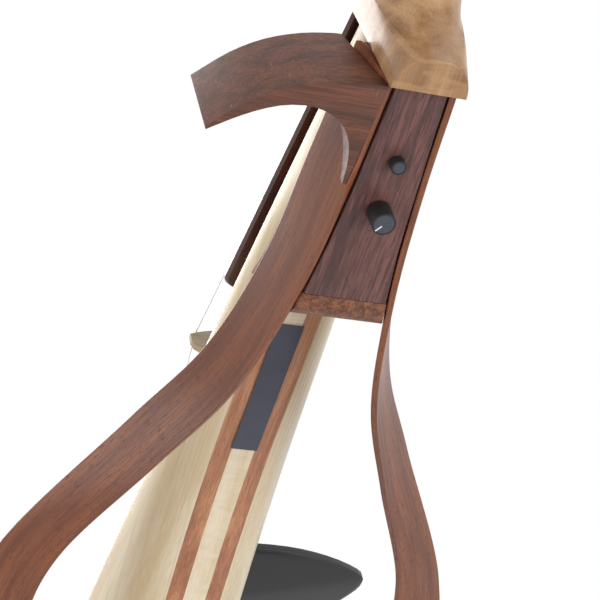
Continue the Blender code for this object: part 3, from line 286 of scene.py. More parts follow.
ALONG_X = (0, 0, radians(90))
ALONG_Z = (radians(90), 0, 0)
PLATE_WALNUT = wood("walnut_plate", "4a2c2a", "7d5049", band=0.006, fibre=0.75, pores=0.55, gloss=0.46,
                    coat=0.05)
BAND_WALNUT = wood("walnut_band", "683217", "8d4f2b", band=0.007, pores=0.75, pore_colour="3c1a0d",
                   gloss=0.38, coat=0.2, bent=True)
HORN_WALNUT = wood("walnut_horn", "4c2817", "7b4630", band=0.005, fibre=0.6, pores=0.35, flecks=0.8,
                   gloss=0.42, coat=0.12, turn=ALONG_X)
BLOCK_WALNUT = wood("walnut_block", "5d2f1c", "98603c", band=0.003, fibre=0.7, pores=0.7, gloss=0.45,
                    coat=0.1, turn=ALONG_Z)
SPRUCE = wood("spruce", "dcc398", "f2e2c4", band=0.016, fibre=0.22, pores=0, year=0.55, gloss=0.36, coat=0.25,
              relief=0.08)
MAHOGANY = wood("mahogany", "a66a4a", "cf946c", band=0.005, fibre=0.45, pores=0.5, pore_colour="8a4a30",
                gloss=0.38, coat=0.2)
CORE_MAPLE = wood("core_maple", "e6cfa9", "f5e6cb", band=0.012, fibre=0.25, pores=0, flame=0.25, gloss=0.36,
                  coat=0.25, relief=0.08)
NECK_MAPLE = wood("neck_maple", "93663f", "c49a6c", band=0.014, fibre=0.35, pores=0.25, pore_colour="7d5233",
                  flame=0.35, gloss=0.3, coat=0.35, relief=0.1)
BRIDGE_MAPLE = wood("bridge_maple", "a8947a", "c6b499", band=0.008, fibre=0.4, pores=0.5,
                    pore_colour="8a6a48", flecks=0.4, fleck_colour="8d6d4d", gloss=0.5, coat=0.0, turn=ALONG_X)
ROSEWOOD = wood("rosewood", "2b0f0c", "5a2419", band=0.004, fibre=0.7, pores=0.5, pore_colour="120606",
                gloss=0.26, coat=0.5, relief=0.12)
EBONY = wood("ebony", "14100e", "231b17", band=0.004, fibre=0.4, pores=0.2, pore_colour="080605", gloss=0.26,
             coat=0.45, relief=0.08)
print("woods made:", len([m for m in bpy.data.materials if m.use_nodes]))

# %% [markdown]
# ## Plastic, paint and metal
# Moulded plastic is not one flat black: it has a fine grain from the mould and a slightly uneven sheen.
# Drawn steel shows faint lines along its length. Both need only small changes of roughness and relief.


# %% Plastics and metals
def moulded(name, code, gloss, grain=0.0004, relief=0.12, coat=0.0):
    material, recipe, shader = shell(name)
    place = recipe.node("ShaderNodeTexCoord", out="Object")
    fine = recipe.noise(place, (grain,) * 3, 2.0)
    cloud = recipe.noise(place, (0.012,) * 3, 3.0)
    colour = recipe.blend(recipe.between(cloud, 0.3, 0.7), paint(code, 0.9), paint(code, 1.12))
    bump = recipe.node("ShaderNodeBump", {}, {"Strength": relief, "Distance": 0.00006, "Height": fine})
    recipe.feed(shader.inputs["Base Color"], colour)
    recipe.feed(shader.inputs["Roughness"], gloss + cloud * 0.1)
    recipe.feed(shader.inputs["Normal"], bump)
    shader.inputs["Coat Weight"].default_value = coat
    return material


def drawn_metal(name, code, gloss, stretch=(0.0002, 0.02, 0.0002)):
    material, recipe, shader = shell(name)
    place = recipe.node("ShaderNodeTexCoord", out="Object")
    lines = recipe.noise(place, stretch, 2.0)
    bump = recipe.node("ShaderNodeBump", {}, {"Strength": 0.08, "Distance": 0.00003, "Height": lines})
    recipe.feed(shader.inputs["Base Color"], recipe.blend(lines, paint(code, 0.85), paint(code, 1.05)))
    recipe.feed(shader.inputs["Roughness"], gloss + lines * 0.12)
    recipe.feed(shader.inputs["Normal"], bump)
    shader.inputs["Metallic"].default_value = 1.0
    return material


BLACK_PLASTIC = moulded("black_plastic", "1d1d20", 0.36, relief=0.08)
KNOB_BLACK = moulded("knob_black", "101012", 0.55, relief=0.2)
# Lighter grey for the knobs' top disc: painted light, standing in for the lit top of the black plastic knobs.
KNOB_TOP_PAINTED_LIGHT = moulded("knob_top_painted_light", "3c4048", 0.5, grain=0.0002)
POINTER_WHITE = moulded("pointer_white", "eeeeec", 0.5)
LABEL_GREY = moulded("label_grey", "434554", 0.42, grain=0.0003)
SILK_GREEN = moulded("silk_green", "2f8a60", 0.6, grain=0.00015, relief=0.4)
STEEL = drawn_metal("steel", "c4c4c8", 0.22)
WOUND_STEEL = drawn_metal("wound_steel", "aeb0b4", 0.3, stretch=(0.01, 0.00025, 0.01))

# %% [markdown]
# ## Making pieces
# A piece is built as a mesh in the heel frame, moved to its place in the mesh itself, and handed to the body
# it rides on. Flat boards and blocks come from a copy of the frame's own node: its loose triangles are
# merged, flat faces are joined again, and a bevel modifier breaks the edges as sandpaper would.


# %% Piece helpers
def shown(name, mesh, material, body, nodes=(), smooth=35):
    """Turn a mesh into a dressed piece on its body."""
    if smooth:
        mesh.shade_smooth()
        mesh.set_sharp_from_angle(angle=radians(smooth))
    mesh.materials.clear()
    mesh.materials.append(material)
    piece = bpy.data.objects.new(name, mesh)
    bpy.context.scene.collection.objects.link(piece)
    if nodes:
        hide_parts(*nodes)
    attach(piece, body)
    return piece


def mesh_of(bm, name, place=None):
    """A bmesh in the heel frame as a mesh in the row frame, faces out."""
    bmesh.ops.remove_doubles(bm, verts=bm.verts, dist=1e-7)
    bmesh.ops.recalc_face_normals(bm, faces=bm.faces)
    mesh = bpy.data.meshes.new(name)
    bm.to_mesh(mesh)
    bm.free()
    mesh.transform(Matrix.Translation(HEEL) @ (place or Matrix.Identity(4)))
    return mesh


def evaluated(piece_name, mesh, add_modifiers):
    """The mesh after its modifiers, as a plain mesh."""
    helper = bpy.data.objects.new(piece_name + "_helper", mesh)
    bpy.context.scene.collection.objects.link(helper)
    add_modifiers(helper)
    graph = bpy.context.evaluated_depsgraph_get()
    result = bpy.data.meshes.new_from_object(helper.evaluated_get(graph), preserve_all_data_layers=True,
                                             depsgraph=graph)
    bpy.data.objects.remove(helper)
    return result


def bevelled(name, mesh, width, segments=3, angle=35):
    def modifiers(helper):
        bevel = helper.modifiers.new("broken edges", "BEVEL")
        bevel.width = width
        bevel.segments = segments
        bevel.limit_method = "ANGLE"
        bevel.angle_limit = radians(angle)
        bevel.use_clamp_overlap = True
    return evaluated(name, mesh, modifiers)


def node_mesh(node, flat=1.5):
    """A merged copy of a node's mesh with its flat faces joined."""
    bm = bmesh.new()
    bm.from_mesh(frame["nodes"][node].data)
    bmesh.ops.remove_doubles(bm, verts=bm.verts, dist=2e-6)
    bmesh.ops.dissolve_limit(bm, angle_limit=radians(flat), verts=bm.verts, edges=bm.edges)
    mesh = bpy.data.meshes.new(node + "_fine")
    bm.to_mesh(mesh)
    bm.free()
    return mesh


def softened(node, width, material, body, segments=3, angle=35, smooth=35):
    mesh = bevelled(node, node_mesh(node), width, segments, angle)
    return shown(node + "_finished", mesh, material, body, (node,), smooth)


def skin(rings):
    """Faces over rings of points, with filled ends."""
    bm = bmesh.new()
    rows = [[bm.verts.new(p) for p in ring] for ring in rings]
    for low, high in zip(rows, rows[1:]):
        for k in range(len(low)):
            n = (k + 1) % len(low)
            bm.faces.new((low[k], low[n], high[n], high[k]))
    bm.faces.new(list(reversed(rows[0])))
    bm.faces.new(rows[-1])
    return bm


def lathe(profile, steps=48):
    """A profile of (height, radius) turned about Z, with filled ends."""
    return skin([[(r * cos(2 * pi * k / steps), r * sin(2 * pi * k / steps), z) for k in range(steps)]
                 for z, r in profile])


# %% [markdown]
# ## The laminated beam
# The real beam is glued from five boards: maple in the middle, a thin mahogany stripe on each side and a
# spruce board outside. A fused block with a painted stripe would look the same from afar, but five boards
# that meet face to face keep each wood's own grain. Each is a loft of sections along the body: the back is
# a flattened ellipse that is cut into slices.

# %% Beam boards
HEAD_HALF, TAIL_HALF, FLARE = 14 * MM, 32.5 * MM, 0.25
SEAT, BACK = 30 * MM, 41.2 * MM
SEAT_END, FREE_FROM = 66 * MM, 112 * MM
TAIL_DROP, DROP_FROM = 22 * MM, 195 * MM
SHOULDER, CORNER = 2.6, 12 * MM
GLUE_CORE, GLUE_STRIPE = 4.95 * MM, 12.1 * MM
SIDE_WALL, BELLY_EDGE = 2 * MM, 0.9 * MM
BEAM_HEAD_GAP = 0.3 * MM


def beam_half(y):
    s = -y / BODY_LENGTH
    half = mix(HEAD_HALF, TAIL_HALF, s * (1 + FLARE) - FLARE * s * s)
    past = y + BODY_LENGTH
    if past < CORNER:
        half -= CORNER - sqrt(max(0, CORNER ** 2 - (CORNER - past) ** 2))
    return half


def beam_back(y):
    back = mix(SEAT, BACK, ease((-y - SEAT_END) / (FREE_FROM - SEAT_END)))
    tail = max(0, -y - DROP_FROM) / (BODY_LENGTH - DROP_FROM)
    return back - TAIL_DROP * tail ** 1.75


def beam_surface(x, y):
    share = min(1.0, abs(x) / beam_half(y))
    return belly_z(y) - (belly_z(y) - beam_back(y)) * (1 - share ** SHOULDER) ** (1 / SHOULDER)


def beam_stations(count=64, turn=12):
    straight = [mix(-BEAM_HEAD_GAP, -(BODY_LENGTH - CORNER), k / count) for k in range(count + 1)]
    return straight + [-(BODY_LENGTH - CORNER * (1 - sin(pi / 2 * k / turn))) for k in range(1, turn + 1)]


def board(name, inner, outer, side, material, node):
    """One board between two glue planes, or out to the beam's rounded side."""
    rings = []
    for y in beam_stations():
        half, front = beam_half(y), belly_z(y)
        edge = half if outer is None else outer
        steps = 26 if outer is None else 6
        ring = []
        for k in range(steps + 1):
            t = k / steps
            x = mix(inner, edge, sin(pi / 2 * t) if outer is None else t)
            z = min(beam_surface(x, y), front - SIDE_WALL) if k == steps else beam_surface(x, y)
            ring.append((side * x, y, z))
        if outer is None:
            for k in range(5):
                angle = pi / 2 * k / 4
                ring.append((side * (edge - BELLY_EDGE * (1 - cos(angle))), y,
                             front - BELLY_EDGE * (1 - sin(angle))))
        else:
            ring.append((side * edge, y, front))
        rings.append(ring + [(side * inner, y, front)])
    return shown(name, mesh_of(skin(rings), name), material, "violin", (node,), smooth=30)


board("maple_core", -GLUE_CORE, GLUE_CORE, 1, CORE_MAPLE, "beam_core")
for side, word in ((1, "treble"), (-1, "bass")):
    board(f"mahogany_stripe_{word}", GLUE_CORE, GLUE_STRIPE, side, MAHOGANY,
          f"beam_stripe_{word}")
    board(f"spruce_board_{word}", GLUE_STRIPE, None, side, SPRUCE, f"beam_side_{word}")
print("beam boards made")

# %% [markdown]
# ## The twisted bands
# Each side band is one strip of walnut. It stands on edge beside the control block, twists as it leaves,
# and lies flat as a ribbon round the lower bout. Its shape follows a rule, two edge curves and a straight
# line between them, so a Geometry Nodes tree makes it: the back edge comes in as a line of points that
# know their partner on the front edge, and a rounded section is swept along the line midway.

# %% Edge curves of the bands
BAND_HEAD_HALF, BAND_LIP_HALF, BAND_SPREAD = 13.2 * MM, 19.6 * MM, 7.6 * MM
BAND_THICKNESS, BAND_WIDTH, BAND_EDGE_RADIUS = 2.6 * MM, 24 * MM, 0.55 * MM
LIP_STATION, WAIST = 93 * MM, 150 * MM
BOUT_AT, BOUT_HALF = 275 * MM, 102.5 * MM
RIBBON, LIFT = 25 * MM, 7 * MM
BAND_TAIL_Z, BAND_SEAT_X = 46 * MM, 29.5 * MM


def through(points, steps):
    """A smooth curve through its points, each span with the same number of steps."""
    padded = [2 * points[0] - points[1], *points, 2 * points[-1] - points[-2]]
    out = []
    for k in range(1, len(padded) - 2):
        a, b, c, d = padded[k - 1:k + 3]
        for n in range(steps):
            t = n / steps
            out.append(0.5 * ((2 * b) + (c - a) * t + (2 * a - 5 * b + 4 * c - d) * t * t
                              + (3 * b - a - 3 * c + d) * t ** 3))
    out.append(points[-1].copy())
    return out


def band_lines(steps=20):
    lip, bout = LIP_STATION, BOUT_HALF
    back = [(BAND_HEAD_HALF, -0.3 * MM, plate_z(0)),
            (mix(BAND_HEAD_HALF, BAND_LIP_HALF, 0.3), -lip / 2, plate_z(-lip / 2)),
            (BAND_LIP_HALF, -lip, plate_z(-lip)),
            (BAND_LIP_HALF + 10.4 * MM, -WAIST + 6 * MM, LIFT * 0.3),
            (bout * 0.48, -WAIST - 38 * MM, LIFT * 0.6),
            (bout - RIBBON - 4 * MM, -BOUT_AT + 35 * MM, LIFT * 0.8),
            (bout - RIBBON, -BOUT_AT - 5 * MM, LIFT),
            (bout * 0.60, -BODY_LENGTH + 36 * MM, LIFT * 2.2),
            (BAND_SEAT_X - 8 * MM, -BODY_LENGTH + 29 * MM, BAND_TAIL_Z - 10 * MM)]
    front = [(BAND_HEAD_HALF + BAND_SPREAD, -0.3 * MM, plate_z(0) + BAND_WIDTH),
             (BAND_HEAD_HALF + BAND_SPREAD + 3.2 * MM, -lip / 2, plate_z(-lip / 2) + BAND_WIDTH),
             (BAND_LIP_HALF + BAND_SPREAD, -lip, plate_z(-lip) + BAND_WIDTH),
             (BAND_LIP_HALF + 18.6 * MM, -WAIST + 12 * MM, 22.5 * MM),
             (bout * 0.58, -WAIST - 28 * MM, 20.5 * MM),
             (bout - 7 * MM, -BOUT_AT + 32 * MM, LIFT + 8 * MM),
             (bout, -BOUT_AT - 14 * MM, LIFT + 4 * MM),
             (bout * 0.70, -BODY_LENGTH + 11 * MM, LIFT * 2.2 + 4 * MM),
             (BAND_SEAT_X - 6 * MM, -BODY_LENGTH + 9 * MM, BAND_TAIL_Z)]
    return [through([Vector(p) for p in line], steps) for line in (back, front)]


# %% Helpers for Geometry Nodes trees
def new_tree(name, inputs):
    """A modifier tree with named inputs; hands back its recipe and the wrapped inputs."""
    tree = bpy.data.node_groups.new(name, "GeometryNodeTree")
    tree.is_modifier = True
    tree.interface.new_socket("Geometry", in_out="INPUT", socket_type="NodeSocketGeometry")
    for label, kind in inputs.items():
        tree.interface.new_socket(label, in_out="INPUT", socket_type="NodeSocket" + kind)
    tree.interface.new_socket("Geometry", in_out="OUTPUT", socket_type="NodeSocketGeometry")
    recipe = Recipe(tree)
    entry = tree.nodes.new("NodeGroupInput")
    values = {socket.name: Value(recipe, socket) for socket in entry.outputs if socket.name}
    return tree, recipe, values


def end_tree(tree, recipe, shape, material):
    """Realize what is instanced, set the material and close the tree."""
    solid = recipe.node("GeometryNodeRealizeInstances", {}, {0: shape})
    solid = recipe.node("GeometryNodeSetMaterial", {}, {"Geometry": solid, "Material": material})
    leave = tree.nodes.new("NodeGroupOutput")
    recipe.feed(leave.inputs[0], solid)


def grown(name, mesh, tree, values):
    """The plain mesh that a tree makes from a base mesh."""
    def modifiers(helper):
        change = helper.modifiers.new(tree.name, "NODES")
        change.node_group = tree
        for item in tree.interface.items_tree:
            if item.item_type == "SOCKET" and item.in_out == "INPUT" and item.name in values:
                change[item.identifier] = values[item.name]
    return evaluated(name, mesh, modifiers)


def line_mesh(name, points, partners=None):
    """A line of points; partners store a second point on each."""
    mesh = bpy.data.meshes.new(name)
    mesh.from_pydata([tuple(p) for p in points], [(k, k + 1) for k in range(len(points) - 1)], [])
    if partners:
        stored = mesh.attributes.new("partner", "FLOAT_VECTOR", "POINT")
        for spot, point in zip(stored.data, partners):
            spot.vector = tuple(point)
    return mesh


# %% The band tree
def band_tree():
    tree, recipe, given = new_tree("twisted band", {
        "Width": "Float", "Thickness": "Float", "Edge radius": "Float", "Side": "Float",
        "Material": "Material"})

    def vector_maths(operation, first, second=None, out=0):
        sockets = {0: first} if second is None else {0: first, 1: second}
        return recipe.node("ShaderNodeVectorMath", {"operation": operation}, sockets, out)

    def scaled(vector, amount):
        made = tree.nodes.new("ShaderNodeVectorMath")
        made.operation = "SCALE"
        recipe.feed(made.inputs[0], vector)
        recipe.feed(made.inputs["Scale"], amount)
        return Value(recipe, made.outputs[0])

    def keep(shape, label, kind, value, domain="POINT"):
        settings = {"data_type": kind, "domain": domain}
        return recipe.node("GeometryNodeStoreNamedAttribute", settings,
                           {"Geometry": shape, "Name": label, "Value": value})

    def named(label, kind="FLOAT_VECTOR"):
        return recipe.node("GeometryNodeInputNamedAttribute", {"data_type": kind}, {"Name": label})

    position = recipe.node("GeometryNodeInputPosition")
    rail = recipe.node("GeometryNodeMeshToCurve", {}, {0: given["Geometry"]})
    gap = vector_maths("SUBTRACT", named("partner"), position)
    rail = keep(rail, "wide", "FLOAT", vector_maths("LENGTH", gap, out="Value"))
    rail = keep(rail, "across", "FLOAT_VECTOR", vector_maths("NORMALIZE", gap))
    middle = vector_maths("ADD", position, scaled(gap, 0.5))
    rail = recipe.node("GeometryNodeSetPosition", {}, {"Geometry": rail, "Position": middle})
    tangent = recipe.node("GeometryNodeInputTangent")
    inward = vector_maths("NORMALIZE", vector_maths("CROSS_PRODUCT", tangent, named("across")))
    rail = keep(rail, "inward", "FLOAT_VECTOR", scaled(inward, given["Side"]))
    rail = keep(rail, "middle", "FLOAT_VECTOR", position)
    length = recipe.node("GeometryNodeSplineParameter", out="Length")
    rail = keep(rail, "along", "FLOAT", length)
    section = recipe.node("GeometryNodeCurvePrimitiveQuadrilateral", {},
                          {"Width": given["Width"], "Height": given["Thickness"]})
    section = recipe.node("GeometryNodeFilletCurve", {"mode": "POLY"},
                          {"Curve": section, "Count": 5, "Radius": given["Edge radius"]})
    section = keep(section, "cut", "FLOAT_VECTOR", position)
    strip = recipe.node("GeometryNodeCurveToMesh", {},
                        {"Curve": rail, "Profile Curve": section, "Fill Caps": True})
    parts = tree.nodes.new("ShaderNodeSeparateXYZ")
    recipe.feed(parts.inputs[0], named("cut"))
    share_x, share_y = Value(recipe, parts.outputs[0]), Value(recipe, parts.outputs[1])
    sign = recipe.node("ShaderNodeMath", {"operation": "SIGN"}, {0: share_x})
    wider = (named("wide", "FLOAT") - given["Width"]) * 0.5
    out_across = share_x + sign * wider
    deep = given["Thickness"] * 0.5 + share_y
    place = vector_maths("ADD", named("middle"), scaled(named("across"), out_across))
    place = vector_maths("ADD", place, scaled(named("inward"), deep))
    strip = recipe.node("GeometryNodeSetPosition", {}, {"Geometry": strip, "Position": place})
    grain = recipe.node("ShaderNodeCombineXYZ", {}, {0: out_across, 1: named("along", "FLOAT"), 2: deep})
    strip = keep(strip, "grain", "FLOAT_VECTOR", grain)
    end_tree(tree, recipe, strip, given["Material"])
    return tree


BAND_TREE = band_tree()
back_line, front_line = band_lines()
for side, word in ((1, "treble"), (-1, "bass")):
    back_edge = [HEEL + Vector((side * p.x, p.y, p.z)) for p in back_line]
    front_edge = [HEEL + Vector((side * p.x, p.y, p.z)) for p in front_line]
    base = line_mesh(f"band_line_{word}", back_edge, front_edge)
    strip = grown(f"band_{word}", base, BAND_TREE, {
        "Width": BAND_WIDTH, "Thickness": BAND_THICKNESS, "Edge radius": BAND_EDGE_RADIUS,
        "Side": float(side), "Material": BAND_WALNUT})
    bm = bmesh.new()
    bm.from_mesh(strip)
    bmesh.ops.recalc_face_normals(bm, faces=bm.faces)
    bm.to_mesh(strip)
    bm.free()
    shown(f"walnut_band_{word}", strip, BAND_WALNUT, "violin", (f"band_{word}",), smooth=40)
    print("band", word, "faces:", len(strip.polygons))

# %% [markdown]
# ## Control block, cover plate and horn
# The block carries the electronics between the bands and ends in a rounded lip of end grain. The plate
# covers it, with a shadow gap all round. The horn is a thick hook of walnut that rests on the shoulder.
# Their forms are right in the frame, so they are copied and their edges are broken with a bevel.

# %% Block, plate, horn and blank label
softened("control_block", 0.35 * MM, BLOCK_WALNUT, "violin", 2, 40)
softened("control_plate", 0.3 * MM, PLATE_WALNUT, "violin", 2, 50)
softened("shoulder_horn", 1.5 * MM, HORN_WALNUT, "violin", 5, 38)
softened("blank_label", 0.15 * MM, LABEL_GREY, "violin", 2, 50)

# %% [markdown]
# ## Neck and heel
# The heel is cut square at its cap and swells into the neck with one hollow curve. Facets would show on
# this polished maple, so the neck is a fine loft of its own; the pegbox and scroll follow the frame.

# %% Neck loft
HEEL_HALF, HEEL_DEPTH, HEEL_THROAT = 14.4 * MM, 13.55 * MM, 24 * MM
NECK_AT_HEEL, NECK_AT_NUT = 17.6 * MM, 12 * MM
DEPTH_AT_HEEL, DEPTH_AT_NUT = 15.5 * MM, 13.2 * MM
NECK_PAST_NUT = 4 * MM


def neck_rings(rows=22):
    throat_end = HEEL_DEPTH + HEEL_THROAT
    stations = [HEEL_DEPTH * sin(pi / 2 * k / 16) for k in range(17)]
    stations += [HEEL_DEPTH + HEEL_THROAT * (1 - cos(pi / 2 * k / 24)) for k in range(1, 25)]
    stations += [mix(throat_end, NUT_Y + NECK_PAST_NUT, k / 20) for k in range(1, 21)]
    rings = []
    for y in stations:
        top = board_z(y)
        share = min(1, max(0, (y - throat_end) / (NUT_Y - throat_end)))
        under = top - mix(DEPTH_AT_HEEL, DEPTH_AT_NUT, share)
        cap = HEEL_HALF * sqrt(max(0, 1 - (y / HEEL_DEPTH) ** 2)) if y < HEEL_DEPTH else 0
        cap = max(cap, 0.8 * MM)
        bottom = 0.0
        if y > HEEL_DEPTH:
            u = min(1.0, (y - HEEL_DEPTH) / HEEL_THROAT)
            bottom = under * sqrt(1 - (1 - u) ** 2)
        power = mix(1.0, 2.0, min(1, y / HEEL_DEPTH))
        half = mix(NECK_AT_HEEL, NECK_AT_NUT, min(1, y / NUT_Y))
        side = []
        for k in range(rows + 1):
            v = 1 - cos(pi / 2 * k / rows)
            side.append((cap + (half - cap) * (1 - (1 - v) ** power) ** (1 / power), y, mix(bottom, top, v)))
        rings.append(side + [(-x, a, b) for x, a, b in reversed(side)])
    return rings


neck = bevelled("neck", mesh_of(skin(neck_rings()), "neck"), 0.35 * MM, 3, 50)
shown("neck_and_heel", neck, NECK_MAPLE, "violin", ("neck_and_scroll",), smooth=40)


# %% Pegbox and scroll
def head_mesh():
    """The frame's neck node from the nut on."""
    bm = bmesh.new()
    bm.from_mesh(frame["nodes"]["neck_and_scroll"].data)
    bmesh.ops.remove_doubles(bm, verts=bm.verts, dist=2e-6)
    cut = HEEL + Vector((0, NUT_Y - 2 * MM, 0))
    whole = bm.verts[:] + bm.edges[:] + bm.faces[:]
    bmesh.ops.bisect_plane(bm, geom=whole, plane_co=cut, plane_no=(0, 1, 0), clear_inner=True)
    bmesh.ops.holes_fill(bm, edges=[e for e in bm.edges if e.is_boundary], sides=0)
    bmesh.ops.dissolve_limit(bm, angle_limit=radians(1.5), verts=bm.verts, edges=bm.edges)
    bmesh.ops.recalc_face_normals(bm, faces=bm.faces)
    mesh = bpy.data.meshes.new("head")
    bm.to_mesh(mesh)
    bm.free()
    return mesh


shown("pegbox_and_scroll", bevelled("head", head_mesh(), 0.5 * MM, 2, 40), NECK_MAPLE, "violin",
      ("neck_and_scroll",))

# %% [markdown]
# ## Fingerboard, nut and saddle
# Dark polished wood with crisp but broken edges. The frame's sections are fine enough, so only the edges
# are softened.

# %% Dark wood fittings
softened("fingerboard", 0.3 * MM, ROSEWOOD, "violin", 2, 50)
softened("nut", 0.4 * MM, EBONY, "violin", 3, 45)
softened("saddle", 0.4 * MM, EBONY, "violin", 3, 45)

# %% [markdown]
# ## Knobs
# Two turned plastic knobs stand on the cover plate. Each has a matte barrel, a chamfered rim that catches
# the light, and a top disc set a little below the rim, coloured a lighter grey as painted light on the
# lit top of the black knob; the large one has a white pointer. They are lathe profiles about the joint's
# own axis, so they stay round and centred when they turn.


# %% Knobs about their joints
def joint_matrix(name, lengthwise=Vector((0, 1, 0))):
    """A frame on a joint: Z along its axis, Y as near lengthwise as can be."""
    joint = JOINTS[name]
    z = Vector(joint["axis"]).normalized()
    x = lengthwise.cross(z).normalized()
    y = z.cross(x)
    turn = Matrix((x, y, z)).transposed().to_4x4()
    return Matrix.Translation(Vector(joint["pos_m"])) @ turn


def about(matrix, bm, name):
    """A bmesh built on an axis, placed in the row frame."""
    return mesh_of(bm, name, Matrix.Translation(-HEEL) @ matrix)


KNOB_LIFT, FACE_DROP, RIM = 0.4 * MM, 0.18 * MM, 0.32 * MM
POINTER_WIDTH = 0.5 * MM
POINTER_AIM = Vector((0.63, -0.776, 0))


def knob(name, radius, height):
    matrix = joint_matrix(f"{name}_turn")
    top = KNOB_LIFT + height
    body, slot = f"{name}_turning", "black_plastic"
    profile = [(KNOB_LIFT, radius * 0.98), (KNOB_LIFT + 0.3 * MM, radius), (top - RIM, radius),
               (top - RIM * 0.3, radius - RIM * 0.3), (top, radius - RIM), (top, radius - 1.8 * RIM),
               (top - FACE_DROP, radius - 2.1 * RIM)]
    shown(f"{name}_barrel", about(matrix, lathe(profile, 64), name), KNOB_BLACK, body,
          (f"{name}_knob",), 30)
    # The top disc takes the lighter grey material: painted light on the lit top of the black knob.
    low = top - FACE_DROP
    disc = [(low, radius - 2.1 * RIM), (low + 0.06 * MM, radius - 2.2 * RIM)]
    shown(f"{name}_face", about(matrix, lathe(disc, 64), name), KNOB_TOP_PAINTED_LIGHT, body, (), 30)
    return matrix, low + 0.06 * MM


SELECTOR_RADIUS, SELECTOR_HEIGHT = 2.9 * MM, 4.0 * MM
VOLUME_RADIUS, VOLUME_HEIGHT = 4.6 * MM, 9.1 * MM
POINTER_FROM, POINTER_TO, POINTER_RISE = 1.0 * MM, 4.0 * MM, 0.05 * MM
knob("selector", SELECTOR_RADIUS, SELECTOR_HEIGHT)
matrix, face = knob("volume", VOLUME_RADIUS, VOLUME_HEIGHT)
aim = (matrix.to_3x3().inverted() @ POINTER_AIM).normalized()
across = Vector((-aim.y, aim.x, 0)) * POINTER_WIDTH / 2
near, far = aim * POINTER_FROM, aim * POINTER_TO
flat = [near - across, far - across, far + across, near + across]
mark = skin([[(p.x, p.y, height) for p in flat] for height in (face, face + POINTER_RISE)])
shown("volume_pointer", about(matrix, mark, "pointer"), POINTER_WHITE, "volume_turning",
      (), 0)

# %% [markdown]
# ## Strings
# A string is a wire along a path from the tailpiece over the bridge and the nut to its peg. The frame's
# node holds the path as rings of points, so their middles are read from it. A Geometry Nodes tree sweeps a
# round section along the path between two lengths; with other numbers the same tree makes the coloured
# silk where the string crosses the bridge.


# %% String tree and paths
def string_tree():
    tree, recipe, given = new_tree("string", {
        "Radius": "Float", "Start": "Float", "End": "Float", "Sides": "Int", "Material": "Material"})
    path = recipe.node("GeometryNodeMeshToCurve", {}, {0: given["Geometry"]})
    path = recipe.node("GeometryNodeTrimCurve", {"mode": "LENGTH"}, {0: path})
    trim = path.socket.node
    lengths = [s for s in trim.inputs if s.type == "VALUE" and s.enabled]
    recipe.feed(lengths[-2], given["Start"])
    recipe.feed(lengths[-1], given["End"])
    circle = recipe.node("GeometryNodeCurvePrimitiveCircle", {},
                         {"Resolution": given["Sides"], "Radius": given["Radius"]})
    wire = recipe.node("GeometryNodeCurveToMesh", {},
                       {"Curve": path, "Profile Curve": circle, "Fill Caps": True})
    end_tree(tree, recipe, wire, given["Material"])
    return tree


def ring_middles(node, gap=0.7 * MM):
    """Middles of the rings of a tube node, from its tail end to its head end."""
    spots = sorted({(round(v.co.y, 6), round(v.co.x, 6), round(v.co.z, 6))
                    for v in frame["nodes"][node].data.vertices})
    groups = [[spots[0]]]
    for spot in spots[1:]:
        if spot[0] - groups[-1][-1][0] > gap:
            groups.append([])
        groups[-1].append(spot)
    return [Vector((sum(s[1] for s in g), sum(s[0] for s in g), sum(s[2] for s in g))) / len(g)
            for g in groups]


STRING_TREE = string_tree()
STRING_SIZES = {"e": 0.30 * MM, "a": 0.66 * MM, "d": 0.76 * MM, "g": 0.82 * MM}
PEGBOX_ALONG = Vector((0, cos(PEGBOX_TILT), sin(PEGBOX_TILT)))
BRIDGE_SILK = 7 * MM
for word, thick in STRING_SIZES.items():
    middles = ring_middles(f"string_{word}")
    axis = Vector(JOINTS[f"peg_{word}_turn"]["pos_m"])
    last = middles[-1]
    path = middles + [last + PEGBOX_ALONG * (axis - last).dot(PEGBOX_ALONG)]
    total = sum((b - a).length for a, b in zip(path, path[1:]))
    at_bridge = (middles[1] - middles[0]).length
    metal = STEEL if word == "e" else WOUND_STEEL
    spans = [("string", 0.5, 0.0, total, metal), ("bridge_silk", 0.62, at_bridge - BRIDGE_SILK / 2,
                                                   at_bridge + BRIDGE_SILK / 2, SILK_GREEN)]
    for label, share, start, end, material in spans:
        wire = grown(label, line_mesh(f"{label}_{word}_path", path), STRING_TREE, {
            "Radius": thick * share, "Start": start, "End": end, "Sides": 12, "Material": material})
        nodes = (f"string_{word}",) if label == "string" else ()
        shown(f"{label}_{word}_wire", wire, material, "violin", nodes)
    print("string", word, "rings:", len(middles), "length:", round(total / MM, 1), "mm")

# %% [markdown]
# ## Bridge, tailpiece and fine tuners
# The bridge is thin maple with cut edges; the tailpiece is moulded plastic with an arched top. Both keep
# the frame's outline with broken edges.

# %% Bridge and tail parts
softened("bridge", 0.35 * MM, BRIDGE_MAPLE, "violin", 2, 45)
softened("bridge_pickup", 0.2 * MM, BLACK_PLASTIC, "violin", 2, 45)
softened("tailpiece", 0.7 * MM, BLACK_PLASTIC, "violin", 3, 50)
softened("chin_rest_leg", 0.8 * MM, BLACK_PLASTIC, "violin", 3, 45)
softened("clamp_foot", 0.5 * MM, BLACK_PLASTIC, "violin", 3, 45)
softened("chin_rest", 0.6 * MM, BLACK_PLASTIC, "violin", 3, 50, 60)
for word in STRING_SIZES:
    softened(f"tuner_lever_{word}", 0.2 * MM, STEEL, "violin", 2, 45)

# %% [markdown]
# ## Everything else
# The remaining nodes have the right shape already. They keep their mesh and take a better material.

